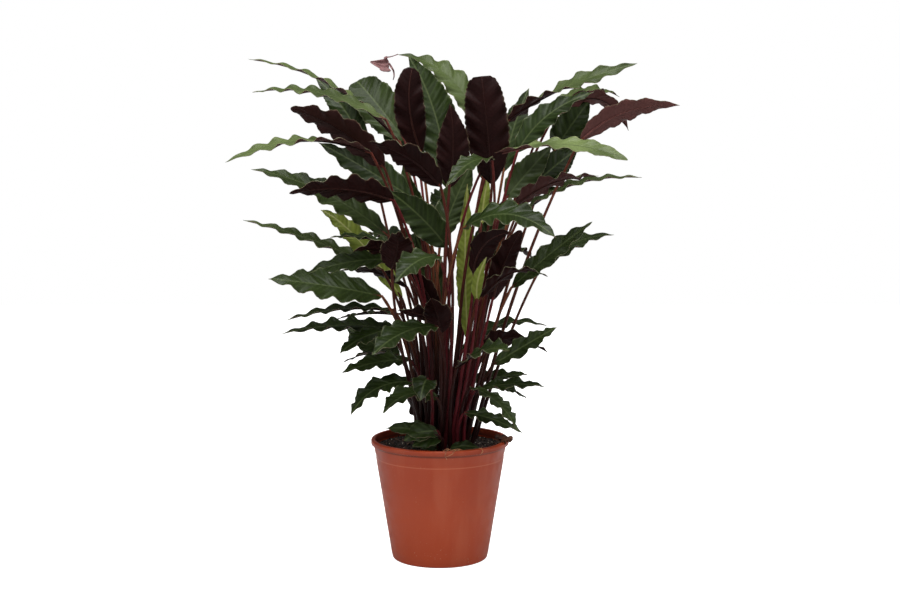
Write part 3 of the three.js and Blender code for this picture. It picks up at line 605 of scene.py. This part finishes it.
def blade_shell(leaf, rng, paints, tone):
    """The upper side, the under side and the thin edge of one blade."""
    rows = leaf.waves * ROWS_PER_WAVE
    t = np.linspace(BARE_END, leaf.end - BARE_END, rows)
    half = half_width(leaf, t)[:, None]
    rib = np.minimum(2 / half, 0.3)
    outer = rib + (1 - rib) * (np.arange(1, SIDE_COLUMNS + 1) / SIDE_COLUMNS) ** 0.9
    right = np.concatenate([rib / 2, rib, outer], 1)
    s = np.concatenate([-right[:, ::-1], np.zeros((rows, 1)), right], 1)
    columns, count = s.shape[1], s.size
    reach = np.abs(s)
    at, side, up = leaf.frame(t)
    height = blade_lift(leaf, t[:, None], s, half, rng)
    veins = t[:, None] * leaf.length - SLANT * half + np.sign(s) * rng.uniform(0, 4)
    lobe = LOBE_DEPTH * (beat(veins) - 0.8) * np.clip(half / 20, 0.2, 1)
    lobe = lobe * np.sin(math.pi * t)[:, None] ** 0.3
    out = s * half + lobe * np.sign(s) * s**4
    upper = at[:, None] + side[:, None] * out[..., None] + up[:, None] * height[..., None]
    if leaf.bluntness < BLUNT_ENOUGH:
        near_tip = np.clip((t / leaf.end - 0.82) / 0.12, 0, 1)[:, None]
        tooth = TIP_TOOTH * (beat(1.3 * s * half) - 0.7) * near_tip
        upper = upper + bend(leaf.blade_curve(), t)[1][:, None] * tooth[..., None]
    thickness = EDGE_THICKNESS + (BLADE_THICKNESS - EDGE_THICKNESS) * (1 - reach**2)
    facing = unit(np.cross(np.gradient(upper, axis=1), np.gradient(upper, axis=0)))
    under = upper - facing * thickness[..., None]
    tip = bend(leaf.blade_curve(), leaf.end)[0]
    flat = np.stack([(s * half).ravel(), np.repeat(t * leaf.length, columns)], 1)
    quads = grid_faces(rows, columns)
    top = np.concatenate([quads[:, [0, 1, 2]], quads[:, [0, 2, 3]]])
    end = np.arange(columns) + count - columns
    to_tip = np.full(columns - 1, 2 * count)
    faces = [
        top,
        top[:, ::-1] + count,
        *edge_faces(rows, columns)[:3],
        np.stack([end[:-1], end[1:], to_tip], 1),
        np.stack([end[1:] + count, end[:-1] + count, to_tip], 1),
        np.array([[end[-1], end[-1] + count, 2 * count], [end[0] + count, end[0], 2 * count]]),
    ]
    kinds = ["upper", "under", "edge", "edge", "edge", "upper", "under", "edge"]
    return Shell(
        np.concatenate([upper.reshape(-1, 3), under.reshape(-1, 3), [tip]]),
        faces,
        np.repeat([paints[kind] for kind in kinds], [len(group) for group in faces]),
        np.concatenate([flat, flat, [[0, leaf.length * leaf.end]]]),
        tone,
        np.concatenate([reach.ravel(), reach.ravel(), [1]]),
    )


def tube_shell(path, radii, sides, aside, paints, tone=PLAIN):
    """A closed round tube along a path, without twist, with a paint for each part of it."""
    cosines, sines = circle(sides)
    across = aside
    rings = []
    for at, way, radius in zip(path, unit(np.gradient(path, axis=0)), radii):
        across = unit(across - np.dot(across, way) * way)
        other = np.cross(way, across)
        rings.append(at + radius * (cosines[:, None] * across + sines[:, None] * other))
    along = np.concatenate([[0], np.cumsum(np.linalg.norm(np.diff(path, axis=0), axis=1))])
    turns = np.tile(np.arange(sides), len(path)) * 2 * math.pi / sides
    place = np.stack([turns * np.repeat(radii, sides), np.repeat(along, sides)], 1)
    return Shell(
        np.concatenate([*rings, [path[0]], [path[-1]]]),
        drum_faces(len(path), sides),
        np.repeat([*paints, paints[0], paints[-1]], sides),
        np.concatenate([place, [[0, 0]], [[0, along[-1]]]]),
        tone,
    )


def stalk_shell(leaf, paints, tone):
    """The stalk from its foot in the soil, which runs on under the blade as its midrib."""
    u = np.linspace(0, 1, STALK_RINGS)
    curve = leaf.stalk_curve()
    crown_rise = CROWN_HEIGHT - FOCUS[2]
    foot = FOCUS + (leaf.crown - FOCUS) * (crown_rise - ROOT_DEPTH) / crown_rise
    below = (1 - u) * np.linalg.norm(curve[2] - curve[0])
    swelling = SWELLING * np.exp(-((below - SWELLING_BELOW) / SWELLING_LENGTH) ** 2)
    stalk_radii = STALK_TOP_RADIUS + (ROOT_RADIUS - STALK_TOP_RADIUS) * (1 - u) ** STALK_TAPER
    t = np.linspace(0, RIB_END * leaf.end, RIB_RINGS)[1:]
    at, side, up = leaf.frame(t)
    rib_radii = RIB_TIP_RADIUS + (STALK_TOP_RADIUS - RIB_TIP_RADIUS) * (1 - t) ** RIB_TAPER
    drop = ((rib_radii + RIB_SINK) * np.minimum(t / RIB_RISE, 1))[:, None]
    path = np.concatenate([[foot], bend(curve, u)[0], at - up * drop])
    radii = np.concatenate([[ROOT_RADIUS], stalk_radii + swelling, rib_radii])
    skin = np.where(np.arange(len(path) - 1) <= STALK_RINGS, paints["stalk"], paints["rib"])
    return tube_shell(path, radii, STALK_SIDES, side[0], skin, tone)


def strip_shell(path, widths, facing, curl):
    """A thin closed strip along a path, curled up along both of its edges."""
    way = unit(np.gradient(path, axis=0))
    across = unit(np.cross(way, facing))
    up = unit(np.cross(across, way))
    s = np.linspace(-1, 1, STRIP_COLUMNS)
    half = (0.5 * widths)[:, None]
    flat = path[:, None] + across[:, None] * (s * half)[..., None]
    ridge = 0.06 * half * np.cos(9 * s)
    top = flat + up[:, None] * (curl * half * s**2 + ridge)[..., None]
    bottom = top - up[:, None] * STRIP_THICKNESS
    rows, columns = len(path), len(s)
    faces = grid_faces(rows, columns)
    return Shell(
        np.concatenate([top.reshape(-1, 3), bottom.reshape(-1, 3)]),
        [faces, faces[:, ::-1] + rows * columns, *edge_faces(rows, columns)],
    )


# ---- materials


class Paint:
    """Builds one node material, a node at a time."""

    def __init__(self, name, roughness=0.5, **sockets):
        self.material = bpy.data.materials.new(name)
        self.material.use_nodes = True
        self.tree = self.material.node_tree
        self.shader = self.tree.nodes["Principled BSDF"]
        self.shader.inputs["Roughness"].default_value = roughness
        for socket, value in sockets.items():
            self.feed(self.shader.inputs[socket.replace("_", " ")], value)

    def node(self, kind, inputs=(), **settings):
        made = self.tree.nodes.new("ShaderNode" + kind)
        for key, value in settings.items():
            setattr(made, key, value)
        for key, value in dict(inputs).items():
            self.feed(made.inputs[key], value)
        return made

    def feed(self, socket, value):
        """Links a socket to another one, or sets its number, vector or colour."""
        if isinstance(value, bpy.types.NodeSocket):
            self.tree.links.new(value, socket)
        else:
            socket.default_value = (*value, 1) if socket.type == "RGBA" else value

    def calc(self, operation, *values):
        return self.node("Math", enumerate(values), operation=operation).outputs[0]

    def times(self, value, share):
        return self.calc("MULTIPLY", value, share)

    def ramp(self, value, low, high, start=0, end=1):
        """start below low, end above high, and smooth between."""
        inputs = {0: value, 1: low, 2: high, 3: start, 4: end}
        return self.node("MapRange", inputs, interpolation_type="SMOOTHSTEP").outputs[0]

    def mix(self, share, first, second):
        made = self.node("Mix", data_type="RGBA")
        for key, value in ((0, share), (6, first), (7, second)):
            self.feed(made.inputs[key], value)
        return made.outputs[2]

    def noise(self, scale, detail, stretch=(1, 1, 1)):
        """Noise from 0 to 1. The scale is in spots per metre, on the object itself."""
        place = self.node("TexCoord").outputs["Object"]
        moved = self.node("Mapping", {"Vector": place, "Scale": stretch}).outputs[0]
        return self.node("TexNoise", {"Vector": moved, "Scale": scale, "Detail": detail}).outputs[0]

    def spots(self, scale, detail, *ramp):
        """Noise through a ramp from low to high, with its start and end."""
        return self.ramp(self.noise(scale, detail), *ramp)

    def band(self, value, middle, near, far, most):
        """most within near of the middle, and 0 beyond far."""
        off = self.calc("ABSOLUTE", self.calc("SUBTRACT", value, middle))
        return self.ramp(off, near, far, most, 0)

    def place(self):
        """Millimetres across from the midrib and along from the blade's base."""
        flat = self.node("UVMap", uv_map="Place").outputs[0]
        parts = self.node("SeparateXYZ", {0: flat}).outputs
        return [self.times(parts[i], UV_SCALE) for i in (0, 1)]

    def veins(self):
        """How far it is to the nearest side vein, the side veins, and the midrib."""
        across, along = self.place()
        reach = self.calc("ABSOLUTE", across)
        wander = self.times(self.noise(60, 2), 2.4)
        slanted = self.calc("ADD", self.calc("MULTIPLY_ADD", reach, -SLANT, along), wander)
        off = self.calc("PINGPONG", slanted, PLEAT_GAP / 2)
        return off, self.ramp(off, 0, 0.7, 1, 0), self.ramp(reach, 0.7, 1.5, 1, 0)

    # Each point's tone; on leaves it also holds painted light and shade
    def tone(self):
        return self.node("Attribute", attribute_name="tone").outputs["Fac"]

    def rim(self, share):
        """A share on the outermost strip of a blade, and 0 elsewhere."""
        near = self.node("Attribute", attribute_name="rim").outputs["Fac"]
        return self.times(self.ramp(near, 0.93, 0.975), share)

    def finish(self, colour, roughness=None, height=None, strength=0, distance=0):
        self.feed(self.shader.inputs["Base Color"], colour)
        if roughness is not None:
            self.feed(self.shader.inputs["Roughness"], roughness)
        if height is not None:
            inputs = {"Height": height, "Strength": strength, "Distance": distance * MM}
            self.feed(self.shader.inputs["Normal"], self.node("Bump", inputs).outputs[0])
        return self.material


def blade_top(name, dark, light, pale, vein_colour, rib_colour, margin):
    """Cloudy and darker between the side veins, and paler, with a stronger margin, the higher the
    leaf's tone, which paints its own tone and the light and sheen that it is seen in."""
    paint = Paint(name, Specular_IOR_Level=0.095)
    off, vein, midrib = paint.veins()
    between = paint.ramp(off, 0, PLEAT_GAP / 2)
    cloud = paint.times(paint.spots(16, 4, 0.35, 0.68), 0.6)
    ground = paint.mix(paint.times(between, 0.35), light, dark)
    ground = paint.mix(cloud, ground, dark)
    ground = paint.mix(paint.tone(), ground, paint.mix(cloud, pale, light))
    colour = paint.mix(paint.times(vein, 0.08), ground, vein_colour)
    colour = paint.mix(paint.times(midrib, 0.7), colour, rib_colour)
    edge = paint.ramp(paint.tone(), 0, 0.4, 0.3, 0.75)
    edge = paint.times(edge, paint.spots(45, 3, 0.35, 0.65, 0.3, 1.1))
    colour = paint.mix(paint.rim(edge), colour, margin)
    roughness = paint.spots(30, 3, 0.3, 0.7, 0.3, 0.44)
    return paint.finish(colour, roughness, between, 0.15, 0.5)


def blade_under(name, dark, light, pale, vein_colour, rib_colour, margin):
    paint = Paint(name, Specular_IOR_Level=0.06)
    _, vein, midrib = paint.veins()
    cloud = paint.times(paint.spots(14, 4, 0.3, 0.7), 0.7)
    # Paler with the leaf's tone, midrib too: its own tone and painted light and sheen
    ground = paint.mix(paint.tone(), paint.mix(cloud, dark, light), pale)
    colour = paint.mix(paint.times(vein, 0.12), ground, vein_colour)
    rib_colour = paint.mix(paint.tone(), rib_colour, pale)
    colour = paint.mix(paint.times(midrib, 0.7), colour, rib_colour)
    colour = paint.mix(paint.rim(0.45), colour, margin)
    roughness = paint.spots(40, 3, 0.3, 0.7, 0.42, 0.56)
    return paint.finish(colour, roughness, paint.calc("ADD", vein, midrib), 0.15, 0.35)


def thin_edge(name, colour, other):
    paint = Paint(name)
    return paint.finish(paint.mix(paint.spots(70, 3, 0.35, 0.65), colour, other))


def stalk_skin(name, low, high, bright, brown):
    """Dark near the soil and redder towards the blade, brown or crimson on some stalks, with
    fine streaks along it."""
    paint = Paint(name, Specular_IOR_Level=0.1)
    climb = paint.ramp(paint.place()[1], 60, 420)
    streaks = paint.ramp(paint.noise(260, 3, (1, 1, 0.06)), 0.4, 0.7)
    colour = paint.mix(climb, low, high)
    colour = paint.mix(paint.ramp(paint.tone(), 0.72, 1, 0, 0.75), colour, bright)
    shade = paint.times(paint.ramp(paint.tone(), 0.08, 0.4, 0.8, 0), climb)
    colour = paint.mix(shade, colour, brown)
    colour = paint.mix(paint.times(streaks, 0.6), colour, low)
    roughness = paint.spots(150, 3, 0.3, 0.7, 0.36, 0.5)
    return paint.finish(colour, roughness, streaks, 0.2, 0.3)


def pot_plastic():
    """Terracotta plastic, with pale flow marks and dust near the base. Painted light: darker
    towards the top as a painted dark reflection of the foliage above, a painted highlight along the
    step, painted shade on the lip's lower half and a painted shadow line under the lip. Heights are
    in metres here."""
    paint = Paint("pot_plastic", Specular_IOR_Level=0.32)
    place = paint.node("TexCoord").outputs["Object"]
    height = paint.node("SeparateXYZ", {0: place}).outputs[2]
    cloud = paint.spots(9, 4, 0.3, 0.7, 0, 0.35)
    # Random mottling, plus a painted reflection: darker towards the top, where the foliage above is
    # mirrored dark
    mottle_and_painted_reflection = paint.calc("ADD", cloud, paint.ramp(height, 0.04, 0.135, 0, 0.65))
    colour = paint.mix(mottle_and_painted_reflection, (0.32, 0.042, 0.0085), (0.262, 0.03, 0.005))
    flow = paint.times(paint.ramp(paint.noise(40, 3, (1, 1, 0.12)), 0.45, 0.75), 0.25)
    colour = paint.mix(flow, colour, (0.4, 0.1, 0.045))
    dust = paint.spots(420, 5, 0.66, 0.75)
    dust = paint.times(dust, paint.ramp(height, 0, 0.05, 0.75, 0.2))
    colour = paint.mix(dust, colour, (0.45, 0.24, 0.15))
    # A painted highlight: a pale line along the step
    step = paint.band(height, STEP_HIGHLIGHT * MM, 0.0003, 0.0012, 0.3)
    colour = paint.mix(step, colour, (0.5, 0.16, 0.08))
    # A painted shadow: a dark line under the lip
    under_lip_shadow = paint.band(height, (POT_HEIGHT - LIP_HEIGHT - 1) * MM, 0.0006, 0.0024, 0.75)
    colour = paint.mix(under_lip_shadow, colour, (0.09, 0.015, 0.006))
    # Painted shade: the lip darker on its lower half, fading out towards its top
    lip_shade = paint.ramp(height, 0.16, 0.1665, 0.45, 0)
    lip_shade = paint.times(lip_shade, paint.ramp(height, 0.1595, 0.1605))
    colour = paint.mix(lip_shade, colour, (0.14, 0.018, 0.006))
    roughness = paint.spots(60, 4, 0.3, 0.7, 0.36, 0.5)
    return paint.finish(colour, roughness, paint.noise(700, 4), 0.12, 0.3)


def speckled(name, first, second, roughness, scale, strength=0.5):
    paint = Paint(name, roughness)
    grain = paint.noise(scale, 6)
    colour = paint.mix(paint.ramp(grain, 0.35, 0.65), first, second)
    return paint.finish(colour, None, grain, strength, 0.6)


# ---- pot and soil


def wall_radius(height):
    under = RIM_RADIUS - LIP_REACH
    return BASE_RADIUS + (under - BASE_RADIUS) * height / (POT_HEIGHT - LIP_HEIGHT)


def arc(middle, radius, start, end, steps=6):
    turn = np.radians(np.linspace(start, end, steps))
    return np.stack([middle[0] + radius * np.cos(turn), middle[1] + radius * np.sin(turn)], 1)


def pot_outline():
    """The wall's outline, from under the base round the lip to the middle of the floor."""
    lip_bottom = POT_HEIGHT - LIP_HEIGHT
    step = POT_HEIGHT - STEP_DROP
    inner = RIM_RADIUS - LIP_REACH - WALL
    foot, roll, edge = FOOT_ROUNDING, LIP_ROLL, LIP_EDGE
    wall = np.linspace(foot, step - 1, 24)
    return np.concatenate([
        [[0, BASE_HOLLOW], [BASE_RADIUS - 12, BASE_HOLLOW], [BASE_RADIUS - 11, 0]],
        arc((BASE_RADIUS - foot, foot), foot, -90, -8),
        np.stack([wall_radius(wall) - STEP_DEPTH * (wall > step - 2), wall], 1)[1:],
        [[wall_radius(step), step + STEP_DEPTH], [wall_radius(lip_bottom - 1), lip_bottom - 1]],
        [[wall_radius(lip_bottom) + 0.3, lip_bottom - 0.2]],
        arc((RIM_RADIUS - roll, lip_bottom + roll), roll, -80, 0),
        arc((RIM_RADIUS - edge, POT_HEIGHT - edge), edge, 0, 90, 8),
        arc((inner + 1, POT_HEIGHT - 1), 1, 90, 180, 4),
        [[inner, lip_bottom], [wall_radius(FLOOR + 3) - WALL, FLOOR + 3]],
        [[wall_radius(FLOOR) - WALL - 3, FLOOR], [0, FLOOR]],
    ])


def make_pot():
    """The turned shell, with its drain holes drilled."""
    outline = pot_outline()
    cosines, sines = circle(POT_SIDES)
    radius, height = outline[1:-1, 0, None], outline[1:-1, 1, None]
    rings = [radius * cosines, radius * sines, np.repeat(height, POT_SIDES, 1)]
    rings = np.stack(rings, 2).reshape(-1, 3)
    ends = [[0, 0, outline[0][1]], [0, 0, outline[-1][1]]]
    shell = Shell(np.concatenate([rings, ends]), drum_faces(len(outline) - 2, POT_SIDES))
    piece = make_piece("pot_shell", [shell], [pot_plastic()], ["pot"])
    for i in range(DRAIN_COUNT):
        turn = 2 * math.pi * (i + 0.5) / DRAIN_COUNT
        bpy.ops.mesh.primitive_cylinder_add(
            vertices=DRAIN_SIDES,
            radius=DRAIN_RADIUS * MM,
            depth=4 * FLOOR * MM,
            location=(DRAIN_CIRCLE * math.cos(turn) * MM, DRAIN_CIRCLE * math.sin(turn) * MM, 0),
        )
        drill = bpy.context.object
        cut = piece.modifiers.new("drain", "BOOLEAN")
        cut.operation = "DIFFERENCE"
        cut.solver = "EXACT"
        cut.object = drill
        bpy.context.view_layer.objects.active = piece
        bpy.ops.object.modifier_apply(modifier=cut.name)
        bpy.data.objects.remove(drill)
    piece.data.set_sharp_from_angle(angle=math.radians(SHARP_ANGLE))


def hills(x, y, rng, count, size, height):
    """A sum of smooth bumps at random places."""
    total = np.zeros_like(x)
    reach = RIM_RADIUS - LIP_REACH
    for _ in range(count):
        px, py = rng.uniform(-reach, reach, 2)
        total += rng.uniform(-1, 1) * height * np.exp(-((x - px) ** 2 + (y - py) ** 2) / size**2)
    return total


def soil_height(x, y):
    rng = np.random.default_rng(SEED)
    x, y = np.atleast_1d(x), np.atleast_1d(y)
    rim = wall_radius(SOIL_TOP) - WALL
    inwards = rim - np.hypot(x, y)
    mound = SOIL_TOP + SOIL_MOUND * np.clip(inwards / (rim - MOUND_RADIUS), 0, 1)
    rough = hills(x, y, rng, 90, 11, 1.4) + hills(x, y, rng, 420, 4, 0.9)
    return mound + rough * np.clip(inwards / 6, 0.15, 1) - SOIL_DIP


def make_soil():
    """The bed of soil, and the crumbs and grains on it."""
    rng = np.random.default_rng(SEED)
    bottom = FLOOR + GAP
    outer = wall_radius(SOIL_TOP) - WALL - GAP
    low = wall_radius(bottom) - WALL - GAP
    cosines, sines = circle(SOIL_SIDES)
    radii = np.linspace(0, 1, SOIL_RINGS)[1:][::-1, None] * outer
    x, y = radii * cosines, radii * sines
    top = np.stack([x, y, soil_height(x, y)], 2).reshape(-1, 3)
    base = np.stack([low * cosines, low * sines, np.full(SOIL_SIDES, bottom)], 1)
    ends = [[0, 0, bottom], [0, 0, soil_height(0.0, 0.0)[0]]]
    bed = Shell(np.concatenate([base, top, ends]), drum_faces(SOIL_RINGS, SOIL_SIDES))
    peat = speckled("peat", (0.008, 0.005, 0.0035), (0.026, 0.014, 0.009), 0.9, 260)
    perlite = speckled("perlite", (0.62, 0.56, 0.46), (0.4, 0.34, 0.26), 0.85, 900)
    bark = speckled("bark_bits", (0.09, 0.045, 0.022), (0.03, 0.015, 0.01), 0.8, 300)
    make_piece("soil_bed", [bed], [peat], ["soil"])
    for name, count, sizes, material in (
        ("peat_crumbs", 700, (0.8, 2.4), peat),
        ("perlite_grains", 150, (0.5, 1.2), perlite),
        ("bark_crumbs", 160, (1, 2.6), bark),
    ):
        make_piece(name, [crumb(rng, sizes, outer) for _ in range(count)], [material])


def ball():
    """A round grain's corners and faces, split once from an octahedron."""
    points = [[1, 0, 0], [-1, 0, 0], [0, 1, 0], [0, -1, 0], [0, 0, 1], [0, 0, -1]]
    points = [np.array(point, float) for point in points]
    known = {}
    faces = []

    def between(i, j):
        key = (min(i, j), max(i, j))
        if key not in known:
            known[key] = len(points)
            points.append(unit(points[i] + points[j]))
        return known[key]

    for a, b, c in [(a, b, c) for a in (0, 1) for b in (2, 3) for c in (4, 5)]:
        normal = np.cross(points[b] - points[a], points[c] - points[a])
        if np.dot(normal, points[a] + points[b] + points[c]) < 0:
            b, c = c, b
        ab, bc, ca = between(a, b), between(b, c), between(c, a)
        faces += [[a, ab, ca], [ab, b, bc], [ca, bc, c], [ab, bc, ca]]
    return np.array(points), np.array(faces)


BALL_POINTS, BALL_FACES = ball()


def crumb(rng, sizes, outer):
    """One lump that lies half sunk in the soil."""
    size = rng.uniform(*sizes)
    far = (outer - 1.5 * size) * math.sqrt(rng.uniform(0, 1))
    turn = rng.uniform(0, 2 * math.pi)
    x, y = far * math.cos(turn), far * math.sin(turn)
    stretch = rng.uniform(0.6, 1.25, 3)
    lumps = 1 + rng.uniform(-0.22, 0.22, (len(BALL_POINTS), 1))
    spin = np.array(Euler(rng.uniform(0, 6.3, 3)).to_matrix())
    middle = [x, y, soil_height(x, y)[0] + 0.25 * size]
    return Shell((BALL_POINTS * lumps * stretch * size) @ spin.T + middle, [BALL_FACES])


# ---- leaves


def leaf_materials():
    """The materials that all leaves share, in the order of the places below."""
    margin, rust = (0.17, 0.18, 0.095), (0.034, 0.011, 0.008)
    return [
        blade_top("leaf_top", (0.005, 0.0085, 0.0018), (0.0155, 0.026, 0.0055),
                  (0.12, 0.155, 0.055), (0.09, 0.12, 0.045), (0.05, 0.066, 0.024), margin),
        blade_under("leaf_under", (0.006, 0.0013, 0.0012), (0.014, 0.003, 0.0027),
                    (0.1, 0.04, 0.036), (0.05, 0.015, 0.013), (0.017, 0.0043, 0.0034),
                    (0.06, 0.042, 0.022)),
        thin_edge("leaf_edge", margin, (0.1, 0.04, 0.025)),
        stalk_skin("stalk", (0.013, 0.003, 0.0025), (0.085, 0.02, 0.013), (0.11, 0.011, 0.016),
                   (0.2, 0.07, 0.028)),
        stalk_skin("rib", (0.012, 0.0032, 0.0027), (0.015, 0.004, 0.0032), rust, rust),
        blade_top("young_top", (0.075, 0.1, 0.014), (0.15, 0.185, 0.03), (0.3, 0.31, 0.09),
                  (0.3, 0.32, 0.1), (0.3, 0.3, 0.11), margin),
        blade_under("young_under", (0.14, 0.16, 0.035), (0.22, 0.22, 0.055), (0.3, 0.3, 0.1),
                    (0.28, 0.28, 0.1), (0.24, 0.16, 0.06), margin),
        # A lit copy of the midrib's paint: painted light on leaves listed as well lit
        stalk_skin("lit_rib", (0.08, 0.028, 0.024), (0.1, 0.037, 0.032), (0.11, 0.04, 0.036),
                   (0.09, 0.03, 0.026)),
    ]


GROWN = {"upper": 0, "under": 1, "edge": 2, "stalk": 3, "rib": 4}
FRESH = {**GROWN, "upper": 5, "under": 6, "rib": 6}
# Well lit leaves take the lit copy of the midrib's paint: painted light
LIT = {**GROWN, "rib": 7}


def make_leaves():
    """One piece for each shoot, and one for the leaves that lie on the soil."""
    materials = leaf_materials()
    shoots = read_shoots(SHOOTS)
    fallen = shoots.pop("fallen")
    leaves = [Leaf(node, row, row is rows[0]) for node, rows in shoots.items() for row in rows]
    place_crowns(leaves)
    for node in shoots:
        own = [leaf for leaf in leaves if leaf.node == node]
        shells = []
        for leaf in own:
            take_depths(leaf)
            rng = np.random.default_rng(SEED + leaves.index(leaf))
            chance = leaf.light is None
            # A listed value paints the light and shade the leaf is seen in; one by chance is its
            # own tone
            light = rng.uniform(0, MOST_BY_CHANCE) if chance else leaf.light
            paints = LIT if light > WELL_LIT else GROWN
            if leaf.kind == "leaf_young" and chance:
                paints = FRESH
            shells.append(blade_shell(leaf, rng, paints, light))
            shells.append(stalk_shell(leaf, paints, rng.uniform(0, 1)))
        make_piece("foliage_" + node, shells, materials, ["leaf_" + node])
    shells = []
    for index, row in enumerate(fallen):
        rng = np.random.default_rng(SEED + index)
        shells.append(blade_shell(Leaf("fallen", row), rng, GROWN, FALLEN_LIGHT))
    make_piece("fallen_leaves", shells, materials)


# ---- dry bits


def through(points, steps=24):
    """A smooth path through a few points."""
    at, known = np.linspace(0, 1, steps), np.linspace(0, 1, len(points))
    curve = np.stack([np.interp(at, known, values) for values in zip(*points)], 1)
    for _ in range(3):
        curve[1:-1] = (curve[:-2] + 2 * curve[1:-1] + curve[2:]) / 4
    return curve


def make_dry_bits():
    """Root threads over the rim, dry leaf bits at its right, and a dried leaf tip on top."""
    rng = np.random.default_rng(SEED)
    dry = speckled("dry_leaf", (0.13, 0.045, 0.018), (0.03, 0.011, 0.006), 0.7, 120)
    faded = speckled("faded_tip", (0.13, 0.05, 0.05), (0.095, 0.034, 0.034), 0.7, 60, 0.1)
    root = speckled("root_thread", (0.4, 0.17, 0.07), (0.16, 0.06, 0.025), 0.7, 200)
    bits = []
    for _ in range(DRY_BITS):
        start = np.array(DRY_PLACE) + rng.uniform(-1, 1, 3) * DRY_SPREAD
        steps = rng.uniform(-1, 1, (3, 3)) * DRY_REACH
        path = through(start + np.cumsum(steps, axis=0))
        taper = np.sin(math.pi * np.linspace(0.08, 0.97, len(path))) ** 0.7
        widths = rng.uniform(4.5, 9) * taper
        bits.append(strip_shell(path, widths, (0.2, -1, 0.6), rng.uniform(0.3, 0.9)))
    make_piece("dry_bits", bits, [dry])
    threads = []
    for points in ROOT_THREADS:
        path = through(points, 40)
        path[1:-1] += rng.normal(0, 0.18, (len(path) - 2, 3))
        radii = np.linspace(*THREAD_RADII, len(path))
        paints = np.zeros(len(path) - 1)
        threads.append(tube_shell(path, radii, THREAD_SIDES, (0.3, 1, 0.2), paints))
    make_piece("root_threads", threads, [root])
    tip = []
    for points, widths in DRIED_TIP:
        path = through(points)
        broad = np.interp(np.linspace(0, 1, len(path)), np.linspace(0, 1, len(widths)), widths)
        path[:, 1] += 1.2 * np.sin(np.linspace(0, 14, len(path)))
        tip.append(strip_shell(path, broad, (0.1, -1, 0.3), 0.35))
    make_piece("dried_tip", tip, [faded])


# ---- studio


def glow_for_camera(tree, socket, otherwise, seen):
    """Sets one strength for what is seen straight on, and another for what lights the part."""
    path = tree.nodes.new("ShaderNodeLightPath").outputs["Is Camera Ray"]
    strength = tree.nodes.new("ShaderNodeMapRange")
    tree.links.new(path, strength.inputs[0])
    strength.inputs[3].default_value = otherwise
    strength.inputs[4].default_value = seen
    tree.links.new(strength.outputs[0], socket)


def make_floor():
    """A plain pale floor, far wider than the view."""
    bpy.ops.mesh.primitive_plane_add(size=FLOOR_SIZE, location=(0, 0, -FLOOR_DROP))
    floor = bpy.context.object
    floor.name = "floor"
    paint = Paint("floor_paper", 0.9, Specular_IOR_Level=0, Emission_Color=(1, 1, 1))
    grey = paint.mix(paint.spots(3, 3, 0.3, 0.7), (0.58, 0.58, 0.58), (0.6, 0.6, 0.6))
    floor.data.materials.append(paint.finish(grey))
    glow_for_camera(paint.tree, paint.shader.inputs["Emission Strength"], 0, 0.95)


def add_softbox(name, place, size, watts):
    """A rectangular light that faces the middle of the plant."""
    data = bpy.data.lights.new(name, "AREA")
    data.shape = "RECTANGLE"
    data.size, data.size_y = size
    data.energy = watts
    lamp = add_object(name, data)
    lamp.location = place
    way = Vector(np.subtract(PLANT_MIDDLE, place))
    lamp.rotation_euler = way.to_track_quat("-Z", "Y").to_euler()
    return lamp


def light_studio():
    world = bpy.data.worlds.new("studio")
    world.use_nodes = True
    tree = world.node_tree
    glow = tree.nodes["Background"]
    glow.inputs["Color"].default_value = (1, 1, 1, 1)
    glow_for_camera(tree, glow.inputs["Strength"], 0.16, 1)
    bpy.context.scene.world = world
    add_softbox("top_box", (0, -0.4, 2.3), (1.8, 1.3), 72)
    back = add_softbox("back_box", (0, 3, 1.8), (1.8, 1.2), 26)
    back.visible_glossy = False
    add_softbox("left_box", (-2.2, -1.4, 1.5), (1, 1.6), 26)
    add_softbox("right_box", (2.2, -1.2, 1.4), (1, 1.6), 20)
    add_softbox("front_box", (0, -3.2, 2.2), (1.6, 1), 38)


def place_camera():
    data = bpy.data.cameras.new("camera")
    data.sensor_width = SENSOR_WIDTH
    data.lens = CAMERA_LENS
    data.clip_start, data.clip_end = 0.05, 100
    camera = add_object("camera", data)
    camera.location = [value * MM for value in CAMERA_PLACE]
    camera.rotation_euler = (math.radians(90 - CAMERA_PITCH), 0, 0)
    bpy.context.scene.camera = camera


place_camera()
make_pot()
make_soil()
make_leaves()
make_dry_bits()
make_floor()
light_studio()
bpy.context.scene.view_settings.view_transform = "Standard"
